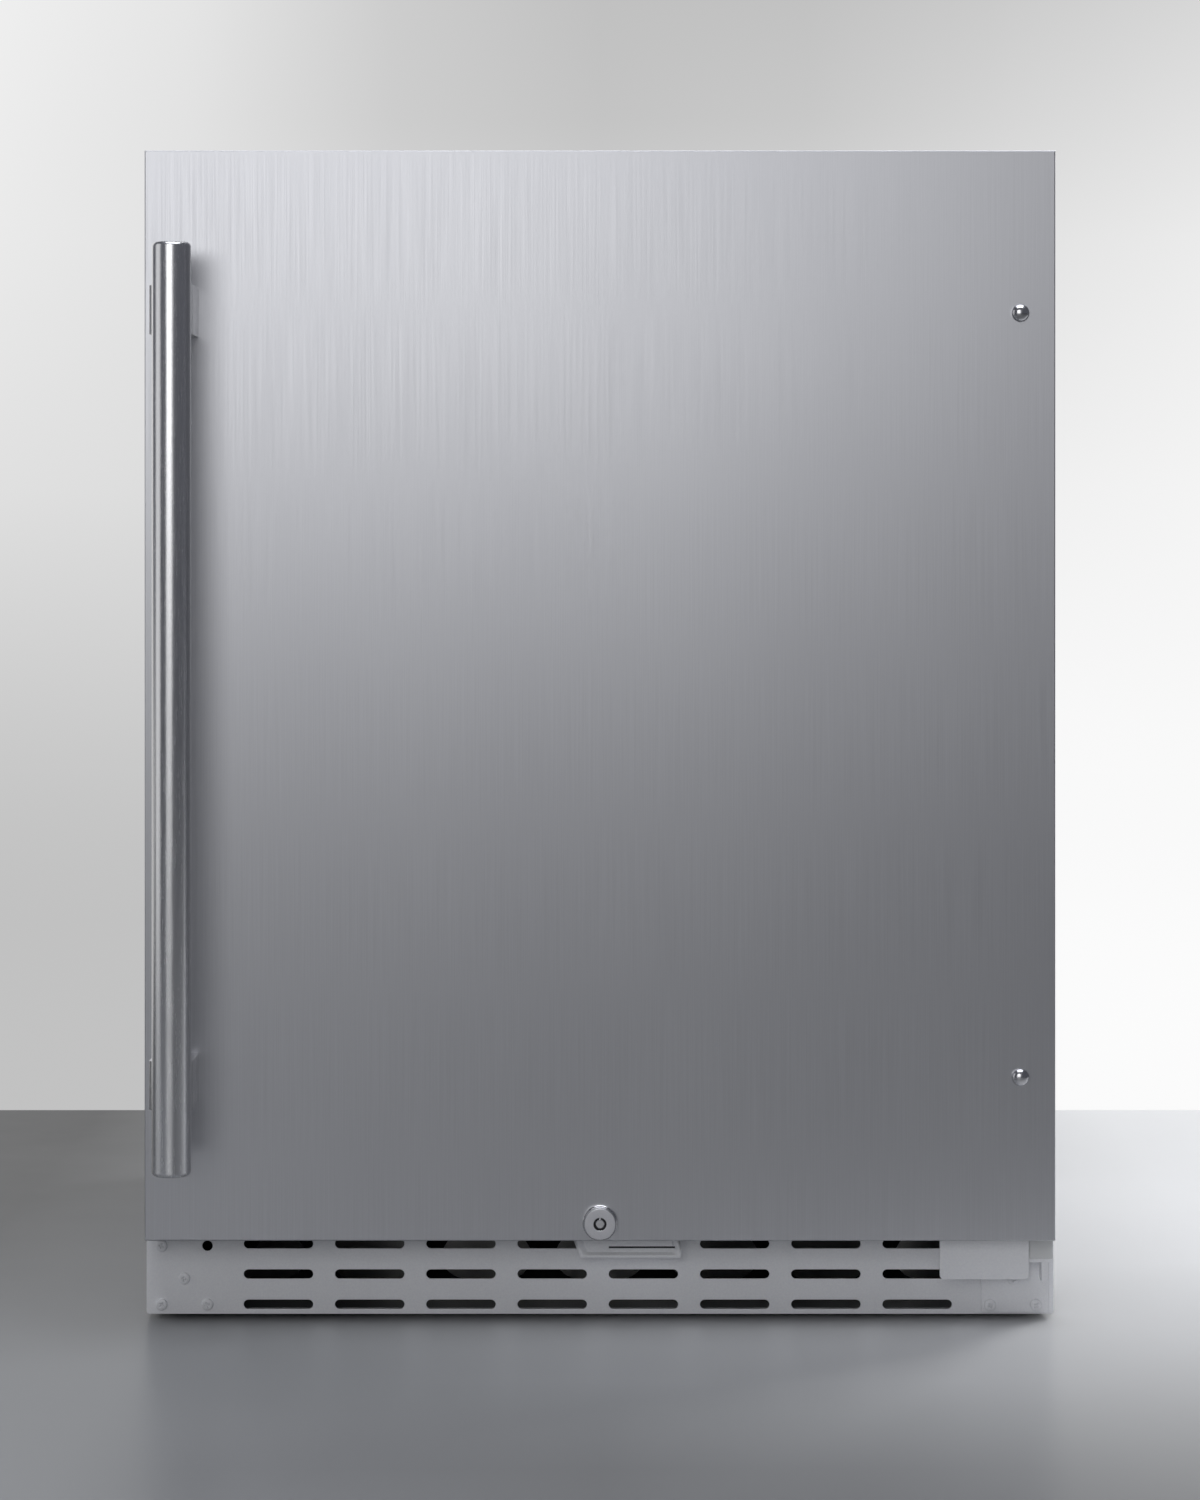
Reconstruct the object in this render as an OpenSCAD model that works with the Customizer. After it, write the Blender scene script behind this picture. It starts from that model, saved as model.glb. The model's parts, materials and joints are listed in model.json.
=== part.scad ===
// Undercounter refrigerator with one full-height right-hinged door.
// Frame: millimetres, +X to the right, +Y to the rear, +Z up. The origin is on the floor,
// under the middle of the whole object, with the door handle at the -Y side.

/* [Cabinet] */
// Width over the side walls
cabinet_w = 600; // [560:1:640]
// Height of the cabinet's top sheet above the floor
cabinet_top = 763; // [740:1:800]
// Depth from the door's face to the back of the cabinet
body_d = 608; // [580:1:640]
// Height of the underside of the insulated box, which is also the door's lower edge
box_z = 58; // [54:1:70]
// Thickness of the insulated walls, skins included
wall = 45; // [38:1:50]
// Thickness of the outer sheet metal
sheet = 1; // [0.8:0.1:1.5]
// Thickness of the plastic inner liner
liner_t = 1.5; // [1:0.1:2]

/* [Door] */
// Width of the door
door_w = 594; // [560:1:600]
// Height of the door's top edge above the floor
door_top = 769; // [745:1:806]
// Thickness of the door without its gasket
door_t = 50; // [44:1:56]
// Space that the closed gasket fills between the door and the cabinet
gasket_t = 12; // [10:0.5:14]

/* [Handle] */
// Diameter of the handle bar
bar_d = 25; // [20:0.5:28]
// Height of the bar's lower end above the floor
bar_z0 = 109.5; // [90:0.5:140]
// Length of the bar
bar_l = 595.5; // [500:0.5:620]
// Distance from the door's face to the bar's axis
bar_reach = 51.5; // [45:0.5:58]
// Height of the lower post above the floor
post_z0 = 164.7; // [150:0.1:200]
// Distance between the two posts
post_pitch = 498.3; // [400:0.1:520]

/* [Kick grille] */
// Distance from the door's face back to the grille's face
grille_setback = 35; // [30:1:40]
// Number of slots in one row
slot_columns = 8; // [6:1:8]
// Number of rows of slots
slot_rows = 3; // [2:1:3]
// Length of one slot
slot_l = 45.9; // [40:0.1:48]
// Height of one slot
slot_h = 6.1; // [4:0.1:8]
// Distance between slots in a row
slot_pitch = 60.36; // [56:0.01:61]
// Distance between rows
row_pitch = 20; // [16:0.5:20]

/* [Inside] */
// Height of the top of the compressor hump inside the box
hump_z = 252; // [245:1:265]
// Height of the lower shelf's glass
shelf_low_z = 405; // [380:1:420]
// Height of the upper shelf's glass
shelf_high_z = 560; // [540:1:580]
// Thickness of the shelf glass
glass_t = 4; // [3:0.5:5]

/* [Hidden] */

$fn = 48;

// Depth positions
total_d = body_d + bar_reach + bar_d / 2;
back_y = total_d / 2;
door_y = back_y - body_d;
door_back = door_y + door_t;
cab_y = door_back + gasket_t;
grille_y = door_y + grille_setback;

// Insulated box
half_w = cabinet_w / 2;
in_x = half_w - wall;
in_top = cabinet_top - wall;
in_z = box_z + wall - 3;
in_back = back_y - 50;
skirt_z = 10;
fixing_x = 200;

// Machine compartment at the lower rear
room_y = back_y - 200;
room_z = hump_z - 40;
hump_y = room_y - 42;
tray_z = skirt_z + 1.5;

// Door
half_door = door_w / 2;
pin_x = half_door - 25;
pin_y = door_y + 27;
pin_d = 8;
pin_bore = pin_d + 0.2;
cap_low_top = box_z + 24;
cap_high_z = cabinet_top - 18;
cap_top = cabinet_top - 0.5;
dyke_x = in_x - 16;
dyke_w = 22;
dyke_y = door_back + 26;
dyke_z0 = in_z + 12;
dyke_z1 = in_top - 6;
gasket_x = pin_x - 1;

// Handle and the matching plugged holes on the hinge side
bar_x = -273.5;
bar_y = door_y - bar_reach;
post_zs = [post_z0, post_z0 + post_pitch];
plug_x = 274;
post_x = [bar_x - 16.2, bar_x + 11.8];

// Lock and its strike
lock_z = box_z + 12;
lock_cam_y = door_y + 24;
lock_bore = 8.7;
barrel_d = 21.3;
barrel_out = 7;
flange_d = 23;
lip_y = door_y + 20;
strike_x = [-18, 55];
strike_z = 42.7;

// Kick grille and hinge leaf screw pattern
grille_bottom = 3;
grille_top = box_z - 3;
grille_sheet = 1.2;
slot_shift = -1.45;
tab_x = 282;
spare_hole_d = 6.9;
row_z0 = 9.4;
screw_d = 7.8;
screw_pattern = [[275, 26.6], [290, 9.4], [259.7, 9.4]];
upper_inner = [259.7, 48.1];
upper_outer = [290, 48.1];
hinge_side_shift = 1.9;
leaf_x = 252;
leaf_end = 298;
leaf_t = 2.4;
leaf_z = 40.2;
cover_y = door_y + 16;

// Levelling feet
foot_x = 272;
foot_ys = [cab_y + 40, back_y - 36];
foot_stem_d = 10;

// Rear cover of the machine compartment and the supply cord's bushing
rear_y = back_y - 2.4;
rear_screws = [for (x = [-280, 280], z = [24, 200]) [x, z]];
gland = [-240, 60];

// Machine room
comp = [150, room_y + 100];
comp_r = 74;
comp_z0 = 30;
comp_h = 142;
comp_mounts = [for (x = [-62, 62], y = [-42, 42]) [comp[0] + x, comp[1] + y]];
fan_y = room_y + 98;
fan_z = 102;
fan_x = -190;
fan_r = 60;
coil_x = [-262, -207];
coil_y0 = room_y + 24;
coil_rows = 7;
coil_z0 = 36;
coil_pitch = 22;
line_y = room_y + 4.8;

// Inside fittings
shelf_x = in_x - 4;
shelf_y0 = cab_y + 98;
shelf_y1 = in_back - 24;
plate_y = in_back - 6;
knob_x = 58;
housing_z = in_top - 29;
switch_x = 213;
switch_z = in_top - 8;
knob_z = housing_z + 15;
housing_y = [shelf_y0 - 2, shelf_y0 + 130];
pipe_r = 3;
suction = [180, back_y - 14];
drain_xy = [0, back_y - 30];
drain_z = room_z + 183;
crisper_y = [shelf_y0 + 4, hump_y - 12];

steel = "#b9bcc2";
grey_paint = "#9a9ca4";
dark = "#303236";
white = "#f1f2f2";
copper = "#b87347";
foam_tint = "#e9dfb8";
glass_tint = "#bcd8d6";

// A box between two corners
module box(x, y, z) {
    translate([x[0], y[0], z[0]])
        cube([x[1] - x[0], y[1] - y[0], z[1] - z[0]]);
}

// A box that is the same on both sides of the middle
module wide(x, y, z) {
    box([-x, x], y, z);
}

// A round bar along X, Y or Z from its first end
module rod_x(p, d, l) {
    translate(p) rotate([0, 90, 0]) cylinder(d = d, h = l);
}
module rod_y(p, d, l) {
    translate(p) rotate([-90, 0, 0]) cylinder(d = d, h = l);
}
module rod_z(p, d, l) {
    translate(p) cylinder(d = d, h = l);
}

// A slot with round ends that goes through along Y
module slot(p, l, h, depth) {
    r = h / 2;
    translate(p) {
        translate([-l / 2 + r, 0, -r]) cube([l - h, depth, h]);
        for (side = [-1, 1])
            translate([side * (l / 2 - r), 0, 0]) rotate([-90, 0, 0]) cylinder(d = h, h = depth);
    }
}

// A pan-head screw whose head faces -Y; p is where the head meets the sheet
module pan_screw(p, shank = 8) {
    translate(p) rotate([90, 0, 0]) {
        difference() {
            union() {
                cylinder(d = screw_d, h = 1.4);
                translate([0, 0, 1.4]) cylinder(d1 = screw_d, d2 = screw_d - 2.6, h = 0.9);
            }
            for (turn = [0, 90])
                rotate([0, 0, turn]) translate([-2.1, -0.5, 1.1]) cube([4.2, 1, 2]);
        }
        translate([0, 0, -shank]) cylinder(d = 4, h = shank);
    }
}

// The places of the four screws on one side of the grille; the hinge side's sit further in
function pattern(side) = [
    for (p = concat(screw_pattern, [side > 0 ? upper_inner : upper_outer]))
        [side * p[0] - (side > 0 ? hinge_side_shift : 0), p[1]]];

// Holes in the top: three for the upper hinge and two for a bracket under a worktop
module top_holes() {
    for (p = upper_screw_places()) rod_z([p[0], p[1], cabinet_top - 9], 4, 12);
    for (side = [-1, 1]) rod_z([side * fixing_x, cab_y + 22, cabinet_top - 16], 5, 20);
}

// ---- Cabinet -------------------------------------------------------------------------

// Folded sheet over both sides and the top, with a narrow front return for the gasket
module cabinet_wrap() color(grey_paint) {
    difference() {
        wide(half_w, [cab_y, back_y], [skirt_z, cabinet_top]);
        wide(half_w - sheet, [cab_y + sheet, back_y + 1], [skirt_z - 1, cabinet_top - sheet]);
        wide(in_x, [cab_y - 1, cab_y + 2], [skirt_z - 1, in_top]);
        wide(half_w - sheet, [cab_y - 1, cab_y + 2], [skirt_z - 1, box_z]);
        top_holes();
    }
}

// Rear skin, from the machine compartment's roof to the top
module back_sheet() color(grey_paint)
    wide(half_w - sheet, [back_y - sheet, back_y], [room_z, cabinet_top - sheet]);

// Folded sheet that forms the front wall and roof of the machine compartment
module machine_bulkhead() color(grey_paint)
    difference() {
        union() {
            wide(half_w - sheet, [room_y, room_y + sheet], [box_z, room_z]);
            wide(half_w - sheet, [room_y, back_y - sheet], [room_z, room_z + sheet]);
        }
        rod_z([suction[0], suction[1], room_z - 1], 2 * pipe_r, 3);
        rod_z([drain_xy[0], drain_xy[1], room_z - 1], 14, 3);
    }

// Underside of the insulated box, turned up at the front as the sill behind the gasket
module floor_sheet() color(grey_paint) {
    wide(half_w - sheet, [cab_y + sheet, room_y], [box_z, box_z + sheet]);
    wide(in_x, [cab_y, cab_y + sheet], [box_z, in_z]);
}

// A brazed elbow, a little fatter than the tubes that meet in it
module elbow(p, grow = 0) {
    translate(p) sphere(r = pipe_r + grow + 0.6);
}

// The tubes that cross the rear insulation
module wall_pipes(grow = 0) {
    rod_z([suction[0], suction[1], room_z - 6], 2 * (pipe_r + grow), 226);
    rod_y([suction[0], plate_y + 2, room_z + 220], 2 * (pipe_r + grow), suction[1] - plate_y - 2);
    elbow([suction[0], suction[1], room_z + 220], grow);
}

// The elbow and the two legs of the drain, as they cross the rear insulation
module drain_pipe(z_low) {
    rod_z([drain_xy[0], drain_xy[1], z_low], 12, drain_z - z_low);
    rod_y([0, in_back, drain_z], 12, drain_xy[1] - in_back);
    translate([0, drain_xy[1], drain_z]) sphere(d = 13);
}

// Rigid foam between the outer skins and the liner
module foam_insulation() color(foam_tint)
    difference() {
        wide(half_w - sheet, [cab_y + sheet, back_y - sheet],
             [box_z + sheet, cabinet_top - sheet]);
        wide(in_x + liner_t, [cab_y - 1, in_back + liner_t],
             [hump_z - liner_t, in_top + liner_t]);
        wide(in_x + liner_t, [cab_y - 1, hump_y + liner_t], [in_z - liner_t, hump_z]);
        wide(half_w, [room_y, back_y], [0, room_z + sheet]);
        wall_pipes();
        drain_pipe(room_z - 1);
        top_holes();
    }

// The hollow of the liner: the main box less the hump
module liner_hollow() {
    wide(in_x, [cab_y - 1, in_back], [hump_z, in_top]);
    wide(in_x, [cab_y - 1, hump_y], [in_z, hump_z + 1]);
}

// Shelf rails moulded on both side walls
module liner_rails() {
    for (z = [hump_z - 6, shelf_low_z - 7, shelf_high_z - 7, shelf_high_z + 66], side = [-1, 1])
        translate([side > 0 ? in_x - 9 : -in_x - 1, cab_y + 40, z])
            cube([10, (z < hump_z ? hump_y + 1 : in_back - 22) - cab_y - 40, 5]);
}

module inner_liner() color(white)
    difference() {
        union() {
            difference() {
                union() {
                    wide(in_x + liner_t, [cab_y + sheet, in_back + liner_t],
                         [hump_z - liner_t, in_top + liner_t]);
                    wide(in_x + liner_t, [cab_y + sheet, hump_y + liner_t],
                         [in_z - liner_t, hump_z]);
                }
                liner_hollow();
            }
            liner_rails();
        }
        wall_pipes();
        rod_y([0, in_back - 1, drain_z], 12, 6);
    }

// Folded base: two side channels that hold the feet, a front beam and the machine tray
module base_tray() color(dark)
    difference() {
        union() {
            for (side = [-1, 1]) {
                wall_x = side > 0 ? [half_w - 3, half_w - 1.5] : [-half_w + 1.5, -half_w + 3];
                foot_strip = side > 0 ? [half_w - 55, half_w - 1.5] : [-half_w + 1.5, -half_w + 55];
                box(wall_x, [cab_y + 10, back_y - 4], [skirt_z, box_z]);
                box(foot_strip, [cab_y + 10, room_y], [skirt_z, tray_z]);
                for (y = foot_ys) rod_z([side * foot_x, y, skirt_z], 18, 12);
            }
            wide(half_w - 3, [cab_y + 10, cab_y + 11.5], [skirt_z, box_z]);
            wide(half_w - 1.5, [room_y - 20, back_y - 4], [skirt_z, tray_z]);
            for (p = comp_mounts) rod_z([p[0], p[1], tray_z], 10, 3);
        }
        for (side = [-1, 1], y = foot_ys)
            rod_z([side * foot_x, y, skirt_z - 1], foot_stem_d + 0.2, 14);
        for (i = [-3:3]) slot([i * 76, cab_y + 9, 34], 60, 30, 4);
    }

// ---- Kick grille, strike and hinges --------------------------------------------------

module kick_grille() color(steel) {
    for (side = [-1, 1])
        translate([side * tab_x - 8, grille_y + grille_sheet, 34])
            cube([16, cab_y + 10 - grille_y - grille_sheet, grille_sheet]);
    difference() {
        wide(half_w, [grille_y, cab_y - 0.4], [grille_bottom, grille_top]);
        wide(half_w - grille_sheet, [grille_y + grille_sheet, cab_y + 10],
             [grille_bottom + grille_sheet, grille_top - grille_sheet]);
        wide(half_w - 12, [grille_y + 16, cab_y + 10], [grille_bottom - 1, grille_bottom + 2]);
        for (i = [0:slot_columns - 1], j = [0:slot_rows - 1])
            slot([(i - (slot_columns - 1) / 2) * slot_pitch + slot_shift, grille_y - 1,
                  row_z0 + j * row_pitch], slot_l, slot_h, 4);
        for (side = [-1, 1], p = pattern(side)) rod_y([p[0], grille_y - 1, p[1]], 4, 4);
        rod_y([-upper_inner[0], grille_y - 1, upper_inner[1]], spare_hole_d, 4);
    }
}

// Identical pan-head screws: four in the grille's left end and four in the rear cover
module panel_screws() color(steel) {
    for (p = pattern(-1)) pan_screw([p[0], grille_y, p[1]]);
    for (p = rear_screws)
        translate([p[0], rear_y, p[1]]) rotate([0, 0, 180]) pan_screw([0, 0, 0], 5);
}

// Shallow pressed pocket below the lock, open at the top where the cam drops in
module lock_strike() color(steel)
    difference() {
        union() {
            box(strike_x, [lip_y, lip_y + 1.2], [strike_z, grille_top + 1.2]);
            box(strike_x, [lip_y, grille_y], [strike_z, strike_z + 1.2]);
            box(strike_x, [grille_y - 1.2, grille_y], [strike_z, grille_top]);
        }
        box([5.7, 49.4], [lip_y - 1, lip_y + 2], [49.1, 50.3]);
        for (x = [-13, 50]) rod_y([x, grille_y - 2, 48], 3.2, 3);
    }

// Vertical leaf on the grille, horizontal leaf for the pin, and a gusset below it
module lower_hinge_bracket() color(steel)
    difference() {
        union() {
            box([leaf_x, 296.5], [grille_y - leaf_t, grille_y], [4.5, leaf_z + leaf_t]);
            box([leaf_x, leaf_x + 16], [grille_y - leaf_t, grille_y], [leaf_z, 53]);
            box([leaf_x + 10, leaf_end], [pin_y, grille_y], [leaf_z, leaf_z + leaf_t]);
            rod_z([pin_x, pin_y, leaf_z], 15, leaf_t);
            box([pin_x, leaf_end], [pin_y - 7.5, pin_y], [leaf_z, leaf_z + leaf_t]);
            box([290.3, 294.9], [pin_y - 6, grille_y], [27, leaf_z]);
        }
        rod_z([pin_x, pin_y, leaf_z - 1], pin_d, 5);
        for (p = pattern(1)) rod_y([p[0], grille_y - 5, p[1]], 4, 8);
    }

// Screw places of the upper hinge, on the cabinet's top
function upper_screw_places() = [[260, cab_y + 14], [287, cab_y + 14], [273.5, cab_y + 44]];

// Flat leaf screwed on the cabinet's top that reaches over the door's end cap
module upper_hinge_bracket() color(steel)
    difference() {
        union() {
            box([250, 296], [cab_y, cab_y + 56], [cabinet_top, cabinet_top + 2.5]);
            box([pin_x - 9, pin_x + 3], [pin_y, cab_y], [cabinet_top, cabinet_top + 2.5]);
            rod_z([pin_x, pin_y, cabinet_top], 18, 2.5);
        }
        rod_z([pin_x, pin_y, cabinet_top - 1], pin_d, 5);
        for (p = upper_screw_places()) rod_z([p[0], p[1], cabinet_top - 1], 4, 5);
    }

// Two shouldered pins, riveted in the hinge leaves
module hinge_pins() color(steel) {
    rod_z([pin_x, pin_y, leaf_z], pin_d, 36);
    rod_z([pin_x, pin_y, leaf_z - 1.5], 10, 1.5);
    rod_z([pin_x, pin_y, cabinet_top - 14], pin_d, 16.5);
    rod_z([pin_x, pin_y, cabinet_top + 2.5], 12, 1.5);
}

module hinge_screws() color(steel) {
    for (p = pattern(1)) pan_screw([p[0], grille_y - leaf_t, p[1]]);
    for (p = upper_screw_places())
        translate([p[0], p[1], cabinet_top + 2.5]) rotate([-90, 0, 0]) pan_screw([0, 0, 0]);
}

// Plain plate with rounded lower corners in front of the lower hinge, hung from the grille
module hinge_cover_plate() color(steel) {
    x = [223, 281.5];
    z0 = 29.7;
    r = 3;
    box(x, [cover_y, cover_y + 1.2], [z0 + r, grille_top + 1.2]);
    box([x[0] + r, x[1] - r], [cover_y, cover_y + 1.2], [z0, z0 + r]);
    for (c = [x[0] + r, x[1] - r]) rod_y([c, cover_y, z0 + r], 2 * r, 1.2);
    box([x[0], x[0] + 38], [cover_y, cab_y - 8], [grille_top, grille_top + 1.2]);
}

// ---- Machine compartment -------------------------------------------------------------

// Hermetic shell with a weld seam, foot plate and three tube stubs
module compressor() color(dark) {
    translate([comp[0], comp[1], comp_z0])
        rotate_extrude($fn = 72) {
            square([comp_r - 34, comp_h]);
            translate([0, 34]) square([comp_r, comp_h - 68]);
            translate([comp_r - 34, 34]) intersection() {
                circle(r = 34);
                translate([0, -34]) square([34, 68]);
            }
            translate([comp_r - 34, comp_h - 34]) intersection() {
                circle(r = 34);
                translate([0, -34]) square([34, 68]);
            }
            translate([0, 82]) square([comp_r + 3, 4]);
        }
    difference() {
        translate([comp[0], comp[1], comp_z0 - 1.5])
            linear_extrude(3) square([144, 104], center = true);
        for (p = comp_mounts) rod_z([p[0], p[1], comp_z0 - 3], 12, 6);
    }
    for (y = [-22, 0]) rod_x([comp[0] - comp_r - 14, comp[1] + y, comp_z0 + 60], 8, 40);
    rod_x([comp[0] + comp_r - 20, comp[1] + 20, comp_z0 + 60], 8, 34);
}

// Four rubber mounts, each with a groove that holds the foot plate
module compressor_grommets() color("#202020")
    for (p = comp_mounts)
        translate([p[0], p[1], tray_z + 3]) {
            difference() {
                union() {
                    cylinder(d = 22, h = comp_z0 - 1.5 - tray_z - 3);
                    cylinder(d = 12, h = comp_z0 + 3 - tray_z - 3);
                    translate([0, 0, comp_z0 + 1.5 - tray_z - 3]) cylinder(d = 18, h = 4);
                }
                translate([0, 0, -1]) cylinder(d = 6, h = 40);
            }
        }

// Plastic cover over the compressor's terminals
module relay_box() color("#15171a")
    difference() {
        box([comp[0] - comp_r - 24, comp[0] - 58], [comp[1] + 12, comp[1] + 58], [64, 112]);
        rod_z([comp[0], comp[1], 60], 2 * comp_r + 0.4, 60);
    }

// Finned tube block that the fan draws air through
module condenser_coil() color(dark) {
    ys = [coil_y0, coil_y0 + 152];
    for (k = [0:18])
        box(coil_x, [ys[0] + 8 + k * 7.6, ys[0] + 8.5 + k * 7.6], [22, 184]);
    for (c = [0, 1], r = [0:coil_rows - 1])
        rod_y([coil_x[0] + 14 + 27 * c, ys[0], coil_z0 + r * coil_pitch], 7, ys[1] - ys[0]);
    for (c = [0, 1], r = [0:coil_rows - 2])
        translate([coil_x[0] + 14 + 27 * c, ys[r % 2], coil_z0 + (r + 0.5) * coil_pitch])
            rotate([0, 90, 0]) rotate([0, 0, r % 2 == 0 ? -90 : 90])
                rotate_extrude(angle = 180) translate([coil_pitch / 2, 0]) circle(d = 7);
    for (y = ys) coil_end_plate(y);
}

// End plate of the condenser with its feet on the tray
module coil_end_plate(y) {
    near = y < room_y + 100;
    box([coil_x[0] - 3, coil_x[1] + 3], near ? [y + 3, y + 4.2] : [y - 4.2, y - 3], [tray_z, 188]);
}

// Square plate with a duct ring round the fan and three arms that carry the motor
module fan_shroud() color("#2b2d31") {
    difference() {
        union() {
            box([fan_x - 1, fan_x + 1], [fan_y - 80, fan_y + 80], [tray_z, fan_z + 82]);
            rod_x([fan_x - 12, fan_y, fan_z], 2 * fan_r + 10, 24);
        }
        rod_x([fan_x - 14, fan_y, fan_z], 2 * fan_r + 5, 30);
    }
    for (turn = [90, 210, 330])
        translate([0, fan_y, fan_z]) rotate([turn, 0, 0])
            translate([fan_x + 12, 25.2, -4]) cube([4, fan_r - 20, 8]);
    difference() {
        rod_x([fan_x + 12, fan_y, fan_z], 56, 4);
        rod_x([fan_x + 11, fan_y, fan_z], 50.4, 6);
    }
}

module fan_motor() color("#8b8f96")
    difference() {
        union() {
            rod_x([fan_x + 12, fan_y, fan_z], 50, 40);
            rod_x([fan_x + 52, fan_y, fan_z], 30, 6);
        }
        rod_x([fan_x + 11, fan_y, fan_z], 5.2, 30);
    }

// Hub, shaft and five pitched blades
module fan_blade() color("#40434a") {
    rod_x([fan_x - 8, fan_y, fan_z], 28, 14);
    rod_x([fan_x - 6, fan_y, fan_z], 5, 40);
    for (k = [0:4])
        translate([fan_x, fan_y, fan_z]) rotate([k * 72, 0, 0])
            translate([0, 0, 12]) rotate([0, 0, 32]) translate([-1, -14, 0])
                cube([2, 28, fan_r - 14]);
}

// Roll-bonded cold plate with its serpentine channel, on four stand-offs
module evaporator_plate() color("#d8dadc") {
    z0 = room_z + 206;
    wide(205, [plate_y, plate_y + 2], [z0, z0 + 250]);
    for (r = [0:7])
        rod_x([-184, plate_y + 0.2, z0 + 20 + r * 30], 7, 368);
    for (r = [0:6])
        rod_z([r % 2 == 0 ? 180 : -180, plate_y + 0.2, z0 + 18 + r * 30], 6, 34);
    for (x = [-196, 196], z = [z0 + 8, z0 + 242]) rod_y([x, plate_y + 2, z], 10, 4);
}

// Suction line down the rear wall, discharge line to the condenser, and the filter drier
module refrigerant_lines() color(copper) {
    y0 = comp[1] + 20;
    x0 = comp[0] + comp_r + 14;
    z0 = comp_z0 + 60;
    dx = x0 + 12 - suction[0];
    dy = y0 - suction[1];
    left = comp[0] - comp_r - 14;
    turn_x = -100;
    inlet_x = coil_x[0] + 14;
    z1 = coil_z0 + (coil_rows - 1) * coil_pitch;
    wall_pipes();
    rod_x([x0, y0, z0], 2 * pipe_r, 12);
    rod_z([x0 + 12, y0, z0], 2 * pipe_r, room_z - 6 - z0);
    translate([suction[0], suction[1], room_z - 6])
        rotate([0, 90, atan2(dy, dx)]) cylinder(r = pipe_r, h = norm([dx, dy]));
    for (p = [[x0 + 12, y0, z0], [x0 + 12, y0, room_z - 6], [suction[0], suction[1], room_z - 6]])
        elbow(p);
    rod_x([turn_x, comp[1] - 22, z0], 2 * pipe_r, left - turn_x);
    rod_y([turn_x, line_y, z0], 2 * pipe_r, comp[1] - 22 - line_y);
    rod_z([turn_x, line_y, z0], 2 * pipe_r, z1 - z0);
    rod_x([inlet_x, line_y, z1], 2 * pipe_r, turn_x - inlet_x);
    rod_y([inlet_x, line_y, z1], 2 * pipe_r, coil_y0 - line_y);
    for (p = [[turn_x, comp[1] - 22, z0], [turn_x, line_y, z0], [turn_x, line_y, z1],
              [inlet_x, line_y, z1]])
        elbow(p);
    rod_x([-50, comp[1] - 22, z0], 16, 70);
}

// Shallow tray on the compressor where melt water evaporates
module drain_pan() color("#1d1f22")
    difference() {
        x = [comp[0] - 190, comp[0] + 20];
        y = [comp[1] - 50, back_y - 10];
        box(x, y, [comp_z0 + comp_h + 0.4, comp_z0 + comp_h + 24]);
        box([x[0] + 1.8, x[1] - 1.8], [y[0] + 1.8, y[1] - 1.8],
            [comp_z0 + comp_h + 2.4, comp_z0 + comp_h + 30]);
    }

// Gutter below the cold plate with its tube through the wall into the pan
module drain_trough() color(white) {
    z = drain_z - 7;
    drain_end = comp_z0 + comp_h + 12;
    difference() {
        wide(200, [in_back - 20, in_back], [z, z + 14]);
        wide(198, [in_back - 18, in_back - 2], [z + 2, z + 15]);
    }
    difference() {
        drain_pipe(drain_end);
        rod_z([drain_xy[0], drain_xy[1], drain_end - 1], 9, drain_z - drain_end + 1);
    }
}

// Bushing where the supply lead would enter
module cord_gland() color("#101113")
    difference() {
        union() {
            rod_y([gland[0], back_y - 12, gland[1]], 16, 11.5);
            rod_y([gland[0], rear_y, gland[1]], 22, 2);
        }
        rod_y([gland[0], back_y - 13, gland[1]], 8, 14);
    }

// Louvred cover over the machine compartment's rear
module machine_cover() color(grey_paint)
    difference() {
        wide(half_w - 3, [rear_y - 1.2, rear_y], [tray_z + 2, room_z - 0.5]);
        for (i = [-6:6], j = [0:6])
            if (i > -5 || j > 2)
                slot([i * 40, back_y - 5, 48 + j * 22], 30, 6, 4);
        for (p = rear_screws) rod_y([p[0], back_y - 5, p[1]], 4, 4);
        rod_y([gland[0], back_y - 5, gland[1]], 16, 4);
    }

// ---- Levelling feet ------------------------------------------------------------------

// Round pad, hexagon and threaded stem in one turned piece
module foot(x, y) color("#26282b") {
    rod_z([x, y, 0], 34, 5);
    translate([x, y, 5]) cylinder(d = 16, h = 4.5, $fn = 6);
    rod_z([x, y, 9.5], foot_stem_d, 38);
}
module foot_front_left() foot(-foot_x, foot_ys[0]);
module foot_front_right() foot(foot_x, foot_ys[0]);
module foot_rear_left() foot(-foot_x, foot_ys[1]);
module foot_rear_right() foot(foot_x, foot_ys[1]);

// ---- Inside fittings -----------------------------------------------------------------

module shelf_glass(z) color(glass_tint)
    wide(shelf_x, [shelf_y0 + 4, shelf_y1 - 4], [z, z + glass_t]);

// Front and rear edge profiles that grip the glass
module shelf_trim(z) color(white)
    difference() {
        for (y = [[shelf_y0, shelf_y0 + 14], [shelf_y1 - 12, shelf_y1]])
            wide(shelf_x, y, [z - 2, z + glass_t + (y[0] > 0 ? 14 : 3)]);
        wide(shelf_x + 1, [shelf_y0 + 4, shelf_y1 - 4], [z, z + glass_t]);
        wide(shelf_x + 1, [shelf_y1 - 20, shelf_y1 - 3], [z + glass_t + 2, z + 40]);
        wide(shelf_x + 1, [shelf_y0 + 8, shelf_y0 + 20], [z + glass_t, z + 20]);
    }

module upper_shelf_glass() shelf_glass(shelf_high_z);
module upper_shelf_trim() shelf_trim(shelf_high_z);
module lower_shelf_glass() shelf_glass(shelf_low_z);
module lower_shelf_trim() shelf_trim(shelf_low_z);

// Glass lid over the drawer, level with the hump
module crisper_cover() color(glass_tint) {
    wide(shelf_x, [shelf_y0 + 6, in_back - 4], [hump_z + 0.5, hump_z + 0.5 + glass_t]);
    wide(shelf_x, [shelf_y0, shelf_y0 + 6], [hump_z - 1, hump_z + 7]);
}

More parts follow.
